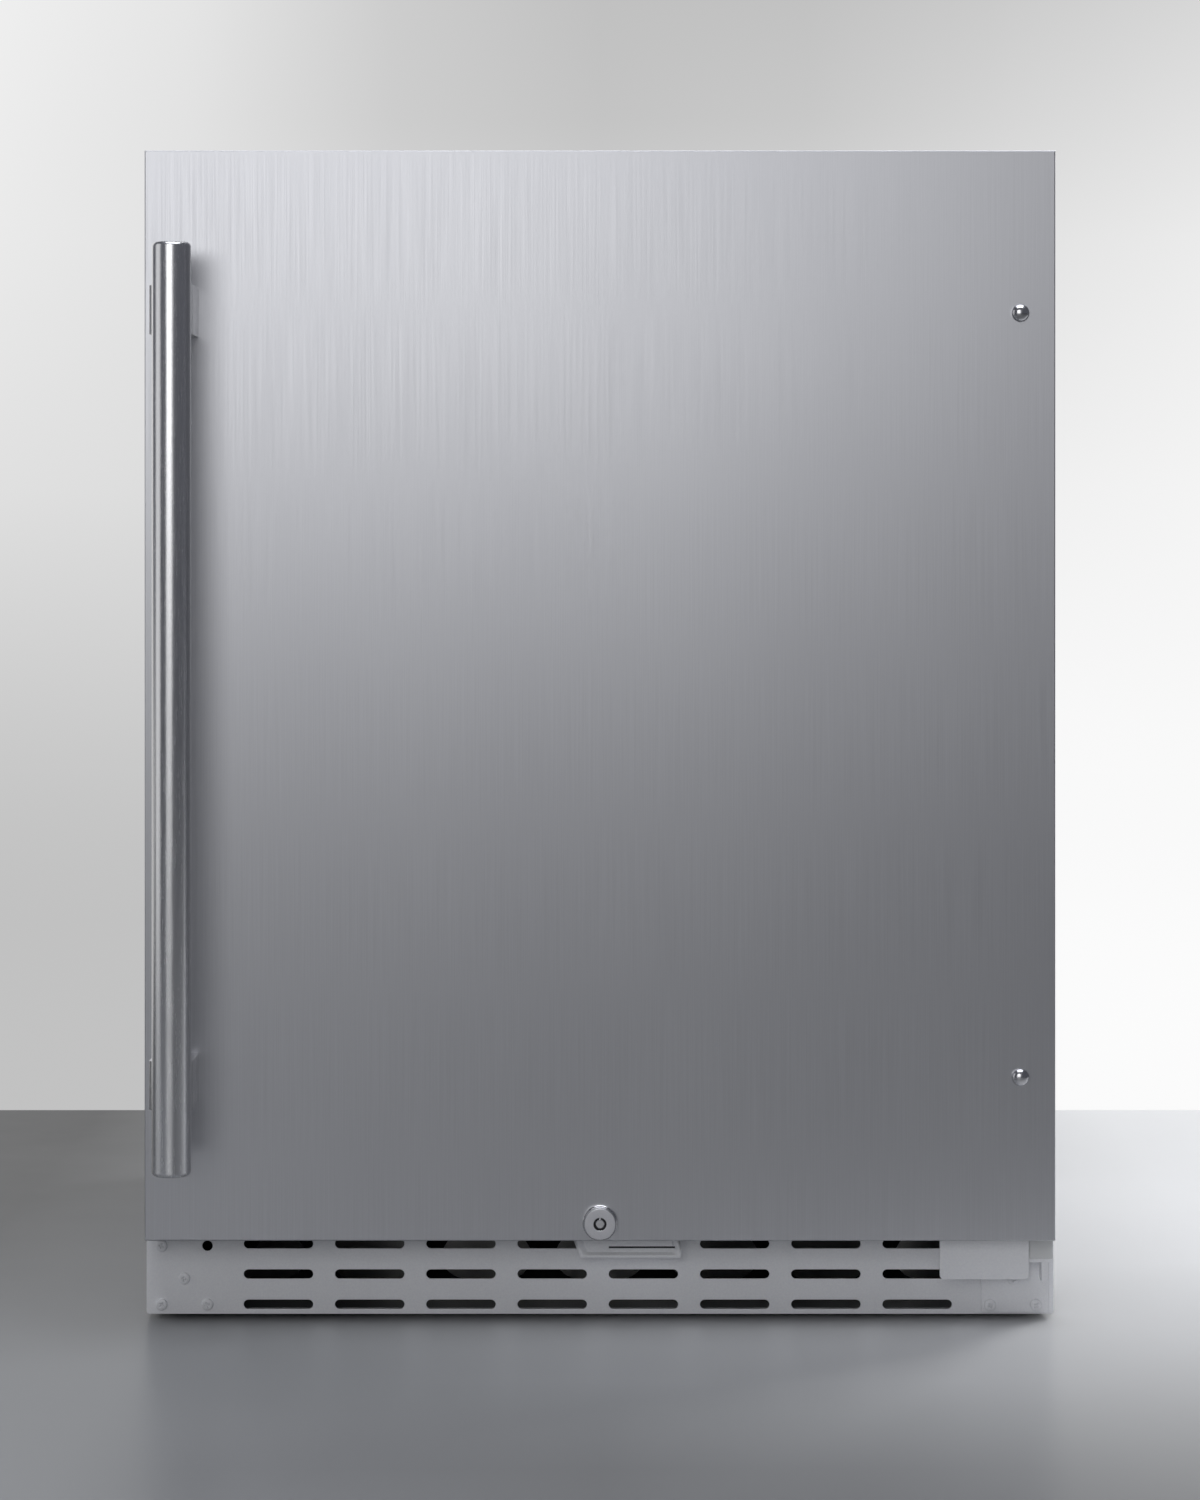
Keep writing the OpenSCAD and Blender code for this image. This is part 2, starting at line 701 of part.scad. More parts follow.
// Open-topped drawer that slides on the liner's floor
module crisper_drawer() color("#e4ecee") {
    x = in_x - 22;
    y = crisper_y;
    z = [in_z + 0.6, hump_z - 14];
    difference() {
        wide(x, y, z);
        wide(x - 2.5, [y[0] + 3, y[1] - 2.5], [z[0] + 2.5, z[1] + 1]);
        wide(90, [y[0] - 1, y[0] + 4], [z[1] - 26, z[1] - 8]);
    }
}

// Ceiling box that holds the thermostat and the lamp
module control_housing() color(white)
    difference() {
        wide(96, housing_y, [housing_z, in_top]);
        wide(93, [housing_y[0] + 2, housing_y[1] - 2], [housing_z + 2, in_top - 2]);
        box([-80, 20], [housing_y[0] + 20, housing_y[1] - 20], [housing_z - 1, housing_z + 3]);
        rod_y([knob_x, housing_y[0] - 1, knob_z], 8.4, 20);
    }

module lamp_lens() color("#fbf6e2")
    difference() {
        box([-79.6, 19.6], [housing_y[0] + 20.4, housing_y[1] - 20.4],
            [housing_z - 8, housing_z + 2]);
        box([-77.6, 17.6], [housing_y[0] + 22.4, housing_y[1] - 22.4],
            [housing_z - 6, housing_z + 3]);
    }

// Dial with a finger ridge and its spindle
module thermostat_knob() color("#e9eaeb") {
    rod_y([knob_x, housing_y[0] - 8.5, knob_z], 26, 8);
    rod_y([knob_x, housing_y[0] - 8.5, knob_z], 8, 22);
    box([knob_x - 2.5, knob_x + 2.5], [housing_y[0] - 14, housing_y[0] - 8.5],
        [knob_z - 12, knob_z + 12]);
}

// Door light switch under the ceiling, on the hinge side
module switch_body() color(white)
    difference() {
        box([switch_x - 13, switch_x + 13], [cab_y + 20, cab_y + 58], [in_top - 16, in_top]);
        rod_y([switch_x, cab_y + 19, switch_z], 8.2, 24);
    }
module switch_plunger() color(white)
    rod_y([switch_x, dyke_y + 0.6, switch_z], 8, cab_y + 37 - dyke_y - 0.6);

// ---- Door ----------------------------------------------------------------------------

// Brushed steel pan: face, side returns and narrow top and bottom hems
module door_panel() color(steel)
    difference() {
        union() {
            wide(half_door, [door_y, door_y + sheet], [box_z, door_top]);
            for (side = [-1, 1])
                box(side > 0 ? [half_door - sheet, half_door] : [-half_door, -half_door + sheet],
                    [door_y, door_back - 0.5], [box_z, cap_top]);
            wide(half_door, [door_y, door_y + 9], [door_top - sheet, door_top]);
        }
        door_pockets();
    }

// Everything that is let into the door behind its face
module door_pockets() {
    rod_y([0, door_y - 1, lock_z], 19.2, 26);
    box([-12, 30], [door_y + 22, door_y + 30], [box_z - 1, lock_z + 12]);
    for (z = post_zs, x = [bar_x, plug_x]) rod_y([x, door_y - 1, z], 6, 22);
    rod_z([pin_x, pin_y, box_z - 1], 14, 22);
    rod_z([pin_x, pin_y, cap_top - 16], 14, 20);
}

// Foam core, with a raised rim that fills the liner's dyke
module door_foam() color(foam_tint)
    difference() {
        union() {
            wide(half_door - sheet, [door_y + sheet, door_back - liner_t],
                 [cap_low_top, cap_high_z]);
            difference() {
                wide(dyke_x - liner_t, [door_back - 3, dyke_y - liner_t],
                     [dyke_z0 + liner_t, dyke_z1 - liner_t]);
                wide(dyke_x - dyke_w + liner_t, [door_back - 4, dyke_y + 1],
                     [dyke_z0 + dyke_w - liner_t, dyke_z1 - dyke_w + liner_t]);
            }
        }
        door_pockets();
    }

// Vacuum-formed inner panel with the raised rim that carries the bins
module door_liner() color(white)
    difference() {
        union() {
            wide(half_door - 1.5, [door_back - liner_t, door_back], [box_z + 1, cap_top - 1]);
            difference() {
                wide(dyke_x, [door_back - liner_t, dyke_y], [dyke_z0, dyke_z1]);
                wide(dyke_x - dyke_w, [door_back, dyke_y + 1],
                     [dyke_z0 + dyke_w, dyke_z1 - dyke_w]);
            }
            for (z = bin_ledges(), side = [-1, 1])
                translate([side * (dyke_x - dyke_w - 1.5) - 2, door_back - 1, z - 14])
                    cube([4, 18, 12]);
        }
        difference() {
            wide(dyke_x - liner_t, [door_back - 3, dyke_y - liner_t],
                 [dyke_z0 + liner_t, dyke_z1 - liner_t]);
            wide(dyke_x - dyke_w + liner_t, [door_back - 4, dyke_y + 1],
                 [dyke_z0 + dyke_w - liner_t, dyke_z1 - dyke_w + liner_t]);
        }
        door_pockets();
    }

module door_top_cap() color(dark)
    difference() {
        wide(half_door - sheet, [door_y + sheet, door_back - liner_t], [cap_high_z, cap_top]);
        door_pockets();
    }

module door_bottom_cap() color(dark)
    difference() {
        wide(half_door - sheet, [door_y + sheet, door_back - liner_t],
             [box_z + 0.5, cap_low_top]);
        door_pockets();
    }

// Magnetic bellows seal, one closed frame
module door_gasket() color("#c9cbcf")
    difference() {
        wide(gasket_x, [door_back, cab_y - 0.4], [box_z + 14, cabinet_top - 13]);
        wide(gasket_x - 15, [door_back - 1, cab_y], [box_z + 29, cabinet_top - 28]);
        difference() {
            wide(gasket_x + 1, [door_back + 3.4, cab_y - 5.6], [box_z, cabinet_top]);
            wide(gasket_x - 4, [door_back - 1, cab_y], [box_z + 18, cabinet_top - 17]);
        }
    }

// Heights at which the two door bins hang
function bin_ledges() = [300, 540];

// Open-topped bin between the dyke's sides
module door_bin(z, h) color("#e4ecee") {
    x = dyke_x - dyke_w - 4;
    y = [door_back + 0.4, shelf_y0 - 10];
    difference() {
        wide(x, y, [z, z + h]);
        wide(x - 2.2, [y[0] + 2.2, y[1] - 2.2], [z + 2.2, z + h + 1]);
    }
}
module door_bin_upper() door_bin(bin_ledges()[1], 62);
module door_bin_lower() door_bin(bin_ledges()[0], 90);

// Round bar with softly turned ends
module handle_bar() color(steel) {
    r = bar_d / 2;
    c = 1.5;
    translate([bar_x, bar_y, bar_z0])
        rotate_extrude($fn = 64)
            polygon([[0, 0], [r - c, 0], [r, c], [r, bar_l - c], [r - c, bar_l], [0, bar_l]]);
}

// Two blocks between the door and the bar, with their front corners cut off
module handle_posts() color(steel)
    difference() {
        for (z = post_zs) translate([0, 0, z - 16]) linear_extrude(32)
            polygon([[post_x[0], door_y], [post_x[1], door_y], [post_x[1], bar_y + 17],
                     [bar_x + 10, bar_y + 7], [bar_x - 10, bar_y + 7], [post_x[0], bar_y + 17]]);
        rod_z([bar_x, bar_y, bar_z0 - 1], bar_d, bar_l + 2);
        for (z = post_zs) rod_y([bar_x, door_y - 21, z], 6, 22);
    }

// Machine screws from inside the door's face into the posts
module handle_screws() color(dark)
    for (z = post_zs) rod_y([bar_x, door_y - 20, z], 6, 30);

// Polished plugs in the spare handle holes
module handle_hole_plugs() color(steel)
    for (z = post_zs)
        translate([plug_x, door_y, z]) rotate([90, 0, 0]) {
            rotate_extrude() polygon([[0, 0], [5.75, 0], [5.75, 2.6], [5.2, 3.8], [3.9, 4.6], [0, 5]]);
            translate([0, 0, -12]) cylinder(d = 6, h = 12);
        }

// Threaded lock housing with its flange and barrel
module lock_body() color(steel)
    difference() {
        union() {
            rod_y([0, door_y - barrel_out, lock_z], barrel_d, barrel_out);
            rod_y([0, door_y - 2.4, lock_z], flange_d, 2.4);
            rod_y([0, door_y, lock_z], 19, 22);
        }
        rod_y([0, door_y - barrel_out - 1, lock_z], lock_bore, 32);
    }

// Thin nut that clamps the lock to the bottom cap
module lock_nut() color(steel)
    difference() {
        rod_y([0, door_y + 22.2, lock_z], 18, 1.4);
        rod_y([0, door_y + 21, lock_z], 8.9, 4);
    }

// Plug with the round keyway's centre post in front and the cam's seat behind
module lock_cylinder() color(steel) {
    rod_y([0, door_y - 6.6, lock_z], 5.9, 6);
    rod_y([0, door_y - 1, lock_z], 8.6, 24.8);
    rod_y([0, door_y + 23.8, lock_z], 6, 5);
}

// Flat cam; it points to +X when unlocked and down into the strike when locked
module lock_cam() color(steel)
    difference() {
        union() {
            rod_y([0, lock_cam_y, lock_z], 13, 2.4);
            box([0, 24], [lock_cam_y, lock_cam_y + 2.4], [lock_z - 5, lock_z + 5]);
        }
        rod_y([0, lock_cam_y - 1, lock_z], 6, 5);
    }

// Flanged nylon bushes in the door's end caps; the lower one also spaces the door
module hinge_bushes() color("#1a1b1d") {
    difference() {
        union() {
            rod_z([pin_x, pin_y, leaf_z + leaf_t + 0.4], 13.6, box_z - leaf_z - leaf_t);
            rod_z([pin_x, pin_y, box_z], 14, 21);
        }
        rod_z([pin_x, pin_y, leaf_z], pin_bore, 42);
    }
    difference() {
        rod_z([pin_x, pin_y, cap_top - 16], 14, 16);
        rod_z([pin_x, pin_y, cap_top - 17], pin_bore, 22);
    }
}

cabinet_wrap();
back_sheet();
machine_bulkhead();
floor_sheet();
foam_insulation();
inner_liner();
base_tray();
kick_grille();
panel_screws();
lock_strike();
lower_hinge_bracket();
upper_hinge_bracket();
hinge_pins();
hinge_screws();
hinge_cover_plate();
compressor();
compressor_grommets();
relay_box();
condenser_coil();
fan_shroud();
fan_motor();
evaporator_plate();
refrigerant_lines();
drain_pan();
drain_trough();
cord_gland();
machine_cover();
control_housing();
lamp_lens();
upper_shelf_glass();
upper_shelf_trim();
lower_shelf_glass();
lower_shelf_trim();
crisper_cover();
switch_body();
door_panel();
door_foam();
door_liner();
door_top_cap();
door_bottom_cap();
door_gasket();
door_bin_upper();
door_bin_lower();
handle_bar();
handle_posts();
handle_screws();
handle_hole_plugs();
lock_body();
lock_nut();
hinge_bushes();
lock_cylinder();
lock_cam();
fan_blade();
thermostat_knob();
crisper_drawer();
switch_plunger();
foot_front_left();
foot_front_right();
foot_rear_left();
foot_rear_right();
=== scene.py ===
"""Looks of the undercounter refrigerator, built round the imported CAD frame. Lengths are in metres."""
import json
import math

import bmesh
import bpy
from mathutils import Matrix, Vector


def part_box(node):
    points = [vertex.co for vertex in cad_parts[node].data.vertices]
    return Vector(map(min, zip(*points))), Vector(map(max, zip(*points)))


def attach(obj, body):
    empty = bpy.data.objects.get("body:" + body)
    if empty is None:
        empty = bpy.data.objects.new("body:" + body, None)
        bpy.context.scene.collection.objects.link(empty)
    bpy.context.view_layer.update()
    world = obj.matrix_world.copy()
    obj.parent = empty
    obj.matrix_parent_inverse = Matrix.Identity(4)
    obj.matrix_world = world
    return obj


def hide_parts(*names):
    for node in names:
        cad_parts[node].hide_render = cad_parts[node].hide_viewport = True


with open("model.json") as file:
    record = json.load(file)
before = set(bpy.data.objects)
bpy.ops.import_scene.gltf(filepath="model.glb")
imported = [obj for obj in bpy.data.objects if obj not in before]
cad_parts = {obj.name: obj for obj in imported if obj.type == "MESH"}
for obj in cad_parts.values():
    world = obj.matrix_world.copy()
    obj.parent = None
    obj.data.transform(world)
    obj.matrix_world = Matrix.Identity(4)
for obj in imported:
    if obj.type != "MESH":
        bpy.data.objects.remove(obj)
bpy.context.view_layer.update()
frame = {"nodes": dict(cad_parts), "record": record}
NODES = frame["nodes"]
MM = 0.001
MERGE_DISTANCE = 0.01 * MM

# ---- Places taken from the frame -----------------------------------------------------

DOOR_LOW, DOOR_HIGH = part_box("door_panel")
DOOR_FACE_Y = DOOR_LOW.y
GRILLE_LOW, GRILLE_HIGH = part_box("kick_grille")
WRAP_LOW, WRAP_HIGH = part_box("cabinet_wrap")

# Camera: level, on the middle plane, 2.4 m in front of the door's face
CAMERA_DISTANCE = 2.4
CAMERA_HEIGHT = 0.515
CAMERA_LENS_MM = 88.34
CAMERA_SHIFT_UP = -0.14
WALL_Y = DOOR_FACE_Y + 0.925


# ---- Mesh helpers --------------------------------------------------------------------

def link(name, mesh):
    piece = bpy.data.objects.new(name, mesh)
    bpy.context.scene.collection.objects.link(piece)
    return piece


def from_bmesh(name, bm, smooth_angle=30):
    bmesh.ops.recalc_face_normals(bm, faces=bm.faces)
    mesh = bpy.data.meshes.new(name)
    bm.to_mesh(mesh)
    bm.free()
    piece = link(name, mesh)
    shade(piece, smooth_angle)
    return piece


def shade(piece, angle=30):
    """Smooth shading that keeps flat faces flat and edges over the angle sharp."""
    mesh = piece.data
    mesh.shade_smooth()
    mesh.set_sharp_from_angle(angle=math.radians(angle))
    if "Normals" not in piece.modifiers:
        weighted = piece.modifiers.new("Normals", "WEIGHTED_NORMAL")
        weighted.mode = "FACE_AREA"
        weighted.weight = 100
        weighted.keep_sharp = True


def apply_modifiers(piece):
    normals = piece.modifiers.get("Normals")
    if normals:
        piece.modifiers.remove(normals)
    graph = bpy.context.evaluated_depsgraph_get()
    mesh = bpy.data.meshes.new_from_object(piece.evaluated_get(graph))
    piece.modifiers.clear()
    piece.data = mesh
    return piece


def join_pieces(name, pieces):
    """One object from several meshes that already lie in place."""
    bm = bmesh.new()
    for piece in pieces:
        mesh = piece.data
        mesh.transform(piece.matrix_world)
        bm.from_mesh(mesh)
        bpy.data.objects.remove(piece)
    mesh = bpy.data.meshes.new(name)
    bm.to_mesh(mesh)
    bm.free()
    return link(name, mesh)


def add_bevel(piece, width, segments=2, angle=30):
    bevel = piece.modifiers.new("Bevel", "BEVEL")
    bevel.width = width
    bevel.segments = segments
    bevel.limit_method = "ANGLE"
    bevel.angle_limit = math.radians(angle)
    bevel.use_clamp_overlap = True
    bevel.harden_normals = False
    return bevel


def softened(node, width, segments=2):
    """A copy of a CAD node with small rounded edges in place of its sharp ones."""
    bm = bmesh.new()
    bm.from_mesh(NODES[node].data)
    bmesh.ops.remove_doubles(bm, verts=bm.verts, dist=MERGE_DISTANCE)
    bmesh.ops.dissolve_limit(bm, angle_limit=math.radians(1), verts=bm.verts, edges=bm.edges)
    piece = from_bmesh(node + "_shape", bm)
    add_bevel(piece, width, segments)
    apply_modifiers(piece)
    shade(piece, 35)
    return piece


def lathe(name, profile, centre, axis="Y", steps=64, smooth_angle=35, tube=False):
    """A turned piece from a profile of (radius, distance along the axis) points.

    A tube's profile closes on itself; the ends of any other piece are filled.
    """
    bm = bmesh.new()
    rings = []
    for radius, along in profile:
        ring = []
        for k in range(steps if radius > 0 else 1):
            turn = 2 * math.pi * k / steps
            u, v = radius * math.cos(turn), radius * math.sin(turn)
            point = {"X": (along, u, v), "Y": (u, along, v), "Z": (u, v, along)}[axis]
            ring.append(bm.verts.new(Vector(point) + Vector(centre)))
        rings.append(ring)
    following = rings[1:] + rings[:1] if tube else rings[1:]
    for low, high in zip(rings, following):
        for k in range(steps):
            n = (k + 1) % steps
            corners = [low[k % len(low)], low[n % len(low)], high[n % len(high)], high[k % len(high)]]
            unique = list(dict.fromkeys(corners))
            if len(unique) > 2:
                bm.faces.new(unique)
    for ring in (rings[0], rings[-1]):
        if len(ring) > 2 and not tube:
            bm.faces.new(ring)
    return from_bmesh(name, bm, smooth_angle)


def arc(centre, radius, start, end, steps=6):
    """Points along an arc in a plane, angles in degrees."""
    points = []
    for k in range(steps + 1):
        turn = math.radians(start + (end - start) * k / steps)
        points.append((centre[0] + radius * math.cos(turn), centre[1] + radius * math.sin(turn)))
    return points


def rounded_outline(x0, x1, z0, z1, radii, steps=6):
    """Corners in the order lower left, lower right, upper right, upper left."""
    a, b, c, d = radii
    points = []
    points += arc((x0 + a, z0 + a), a, 180, 270, steps) if a else [(x0, z0)]
    points += arc((x1 - b, z0 + b), b, 270, 360, steps) if b else [(x1, z0)]
    points += arc((x1 - c, z1 - c), c, 0, 90, steps) if c else [(x1, z1)]
    points += arc((x0 + d, z1 - d), d, 90, 180, steps) if d else [(x0, z1)]
    return points


def slot_outline(x, z, length, height, steps=10):
    r = height / 2
    half = length / 2 - r
    return arc((x + half, z), r, -90, 90, steps) + arc((x - half, z), r, 90, 270, steps)


def circle_outline(x, z, radius, steps=24):
    return arc((x, z), radius, 0, 360 - 360 / steps, steps - 1)


def sheet_plate(name, outline, holes, y_front, thickness, edge=0.2 * MM):
    """A flat plate in the XZ plane with holes, its cut edges slightly rounded."""
    curve = bpy.data.curves.new(name, "CURVE")
    curve.dimensions = "2D"
    curve.fill_mode = "BOTH"
    curve.extrude = thickness / 2 - edge
    curve.bevel_depth = edge
    curve.bevel_resolution = 2
    curve.offset = -edge
    for points in [outline] + holes:
        spline = curve.splines.new("POLY")
        spline.points.add(len(points) - 1)
        for point, (x, z) in zip(spline.points, points):
            point.co = (x, z, 0, 1)
        spline.use_cyclic_u = True
    source = bpy.data.objects.new(name + "_curve", curve)
    bpy.context.scene.collection.objects.link(source)
    graph = bpy.context.evaluated_depsgraph_get()
    mesh = bpy.data.meshes.new_from_object(source.evaluated_get(graph))
    bpy.data.objects.remove(source)
    mesh.transform(Matrix.Rotation(math.radians(90), 4, "X"))
    mesh.transform(Matrix.Translation((0, y_front + thickness / 2, 0)))
    bm = bmesh.new()
    bm.from_mesh(mesh)
    bmesh.ops.remove_doubles(bm, verts=bm.verts, dist=MERGE_DISTANCE)
    return from_bmesh(name, bm, 35)


def block(name, low, high, bevel=0.0, segments=2):
    bm = bmesh.new()
    bmesh.ops.create_cube(bm, size=1)
    for vert in bm.verts:
        vert.co = Vector([low[i] + (vert.co[i] + 0.5) * (high[i] - low[i]) for i in range(3)])
    piece = from_bmesh(name, bm)
    if bevel:
        add_bevel(piece, bevel, segments)
        apply_modifiers(piece)
        shade(piece, 35)
    return piece


def cut(piece, tools):
    """Takes the tools out of the piece."""
    for tool in tools:
        boolean = piece.modifiers.new("Cut", "BOOLEAN")
        boolean.operation = "DIFFERENCE"
        boolean.solver = "EXACT"
        boolean.object = tool
    apply_modifiers(piece)
    for tool in tools:
        bpy.data.objects.remove(tool)
    return piece


# ---- Materials -----------------------------------------------------------------------

class Shader:
    """A Principled material with short calls for its node graph."""

    def __init__(self, name):
        self.material = bpy.data.materials.new(name)
        self.material.use_nodes = True
        self.tree = self.material.node_tree
        self.bsdf = self.tree.nodes["Principled BSDF"]
        self.coordinates = self.tree.nodes.new("ShaderNodeTexCoord")

    def set(self, **values):
        for key, value in values.items():
            self.bsdf.inputs[key.replace("_", " ")].default_value = value
        return self

    def link(self, source, target):
        self.tree.links.new(source, target)

    def stretched(self, scale):
        mapping = self.tree.nodes.new("ShaderNodeMapping")
        mapping.inputs["Scale"].default_value = scale
        self.link(self.coordinates.outputs["Object"], mapping.inputs["Vector"])
        return mapping.outputs["Vector"]

    def noise(self, scale, detail=3.0, roughness=0.55):
        node = self.tree.nodes.new("ShaderNodeTexNoise")
        node.inputs["Scale"].default_value = 1.0
        node.inputs["Detail"].default_value = detail
        node.inputs["Roughness"].default_value = roughness
        self.link(self.stretched(scale), node.inputs["Vector"])
        return node.outputs["Fac"]

    def cells(self, scale):
        node = self.tree.nodes.new("ShaderNodeTexVoronoi")
        node.inputs["Scale"].default_value = 1.0
        self.link(self.stretched(scale), node.inputs["Vector"])
        return node.outputs["Color"]

    def ranged(self, source, low, high, from_low=0.3, from_high=0.7):
        """The source's range, by default the usual one of a noise, mapped to low and high."""
        node = self.tree.nodes.new("ShaderNodeMapRange")
        node.inputs["From Min"].default_value = from_low
        node.inputs["From Max"].default_value = from_high
        node.inputs["To Min"].default_value = low
        node.inputs["To Max"].default_value = high
        self.link(source, node.inputs["Value"])
        return node.outputs["Result"]

    def ramp(self, source, stops):
        node = self.tree.nodes.new("ShaderNodeValToRGB")
        ramp = node.color_ramp
        while len(ramp.elements) < len(stops):
            ramp.elements.new(0.5)
        for element, (place, colour) in zip(ramp.elements, stops):
            element.position = place
            element.color = (*colour, 1)
        self.link(source, node.inputs["Fac"])
        return node.outputs["Color"]

    def multiplied(self, source_a, source_b):
        node = self.tree.nodes.new("ShaderNodeMix")
        node.data_type = "RGBA"
        node.blend_type = "MULTIPLY"
        node.inputs["Factor"].default_value = 1.0
        self.link(source_a, node.inputs["A"])
        self.link(source_b, node.inputs["B"])
        return node.outputs["Result"]

    def blended(self, source_a, source_b, factor):
        """source_a where the factor is 0, source_b where it is 1."""
        node = self.tree.nodes.new("ShaderNodeMix")
        node.data_type = "RGBA"
        self.link(factor, node.inputs["Factor"])
        self.link(source_a, node.inputs["A"])
        self.link(source_b, node.inputs["B"])
        return node.outputs["Result"]

    def along(self, axis, low, high):
        """0 to 1 as the object's own coordinate goes from low to high."""
        separate = self.tree.nodes.new("ShaderNodeSeparateXYZ")
        self.link(self.coordinates.outputs["Object"], separate.inputs["Vector"])
        return self.ranged(separate.outputs[axis], 0, 1, low, high)

    def bump(self, source, strength, distance):
        node = self.tree.nodes.new("ShaderNodeBump")
        node.inputs["Strength"].default_value = strength
        node.inputs["Distance"].default_value = distance
        self.link(source, node.inputs["Height"])
        self.link(node.outputs["Normal"], self.bsdf.inputs["Normal"])

    def colour(self, source):
        self.link(source, self.bsdf.inputs["Base Color"])

    def rough(self, source):
        self.link(source, self.bsdf.inputs["Roughness"])


def tint(colour, factor):
    return tuple(min(1.0, c * factor) for c in colour)


def brushed_metal(name, colour, grain, roughness, stretch=0.6, contrast=0.05):
    """Metal with fine parallel scratches. grain is the scale of the noise per metre."""
    s = Shader(name).set(Metallic=1.0, Anisotropic=stretch)
    lines = s.noise(grain, detail=4.0, roughness=0.65)
    clouds = s.noise((5, 5, 3), detail=2.0)
    fine = s.ramp(lines, [(0.3, tint(colour, 1 - contrast)), (0.7, tint(colour, 1 + contrast))])
    broad = s.ramp(clouds, [(0.25, (0.95, 0.95, 0.955)), (0.75, (1, 1, 1))])
    s.colour(s.multiplied(fine, broad))
    s.rough(s.ranged(lines, roughness - 0.04, roughness + 0.05))
    s.bump(lines, 0.06, 0.00012)
    if stretch:
        tangent = s.tree.nodes.new("ShaderNodeTangent")
        tangent.direction_type = "RADIAL"
        tangent.axis = "Z"
        s.link(tangent.outputs["Tangent"], s.bsdf.inputs["Tangent"])
    return s.material


def satin_metal(name, colour, roughness, speckle=900, contrast=0.03, metallic=1.0):
    """Rolled or blasted metal with a fine even tooth."""
    s = Shader(name).set(Metallic=metallic)
    tooth = s.noise((speckle, speckle, speckle), detail=2.0)
    clouds = s.noise((9, 9, 9), detail=3.0)
    fine = s.ramp(tooth, [(0.3, tint(colour, 1 - contrast)), (0.7, tint(colour, 1 + contrast))])
    broad = s.ramp(clouds, [(0.3, (0.95, 0.95, 0.95)), (0.7, (1, 1, 1))])
    s.colour(s.multiplied(fine, broad))
    s.rough(s.ranged(clouds, roughness - 0.04, roughness + 0.04))
    s.bump(tooth, 0.05, 0.0001)
    return s.material


def polished_metal(name, colour, roughness):
    s = Shader(name).set(Metallic=1.0)
    smears = s.noise((160, 160, 160), detail=4.0)
    s.colour(s.ramp(smears, [(0.3, tint(colour, 0.93)), (0.7, colour)]))
    s.rough(s.ranged(smears, roughness * 0.7, roughness * 1.5))
    s.bump(smears, 0.03, 0.0001)
    return s.material


def galvanised_metal(name, colour):
    """Zinc-coated sheet with its spangle."""
    s = Shader(name).set(Metallic=0.85)
    spangle = s.cells((70, 70, 70))
    haze = s.noise((30, 30, 30), detail=4.0)
    tones = s.ramp(spangle, [(0.0, tint(colour, 0.84)), (1.0, tint(colour, 1.1))])
    broad = s.ramp(haze, [(0.3, (0.9, 0.91, 0.92)), (0.7, (1, 1, 1))])
    s.colour(s.multiplied(tones, broad))
    s.rough(s.ranged(spangle, 0.34, 0.55, 0.0, 1.0))
    s.bump(haze, 0.08, 0.0002)
    return s.material


def moulded_plastic(name, colour, roughness, tooth=700, depth=0.08, coat=0.0, specular=0.5):
    """Plastic with a light moulded texture and faint tone changes."""
    s = Shader(name).set(Specular_IOR_Level=specular, Coat_Weight=coat, Coat_Roughness=0.12)
    grain = s.noise((tooth, tooth, tooth), detail=2.0)
    clouds = s.noise((14, 14, 14), detail=3.0)
    s.colour(s.ramp(clouds, [(0.3, tint(colour, 0.94)), (0.7, colour)]))
    s.rough(s.ranged(grain, roughness - 0.05, roughness + 0.06))
    s.bump(grain, depth, 0.00015)
    return s.material


def clear_plastic(name, colour):
    s = Shader(name).set(IOR=1.49, Transmission_Weight=0.9)
    haze = s.noise((60, 60, 60), detail=3.0)
    s.colour(s.ramp(haze, [(0.3, tint(colour, 0.96)), (0.7, colour)]))
    s.rough(s.ranged(haze, 0.06, 0.16))
    return s.material


def shelf_glass_material(name):
    s = Shader(name).set(IOR=1.5, Transmission_Weight=0.95)
    smears = s.noise((18, 18, 18), detail=4.0)
    s.colour(s.ramp(smears, [(0.3, (0.83, 0.93, 0.90)), (0.7, (0.90, 0.97, 0.95))]))
    s.rough(s.ranged(smears, 0.01, 0.05))
    return s.material


def foam_material(name):
    s = Shader(name)
    pores = s.noise((400, 400, 400), detail=4.0)
    s.colour(s.ramp(pores, [(0.3, (0.62, 0.52, 0.30)), (0.7, (0.80, 0.71, 0.46))]))
    s.rough(s.ranged(pores, 0.8, 0.95))
    s.bump(pores, 0.5, 0.0006)
    return s.material


def soft_rubber(name, colour, roughness=0.6):
    s = Shader(name).set(Sheen_Weight=0.15, Sheen_Roughness=0.5)
    grain = s.noise((500, 500, 500), detail=3.0)
    s.colour(s.ramp(grain, [(0.3, tint(colour, 0.9)), (0.7, tint(colour, 1.05))]))
    s.rough(s.ranged(grain, roughness - 0.06, roughness + 0.08))
    s.bump(grain, 0.12, 0.0002)
    return s.material


def lamp_material(name):
    s = Shader(name).set(Subsurface_Weight=0.25, Transmission_Weight=0.25)
    ribs = s.noise((300, 20, 20), detail=1.0)
    s.colour(s.ramp(ribs, [(0.3, (0.88, 0.86, 0.79)), (0.7, (0.95, 0.93, 0.87))]))
    s.rough(s.ranged(ribs, 0.25, 0.4))
    s.bump(ribs, 0.2, 0.0004)
    return s.material


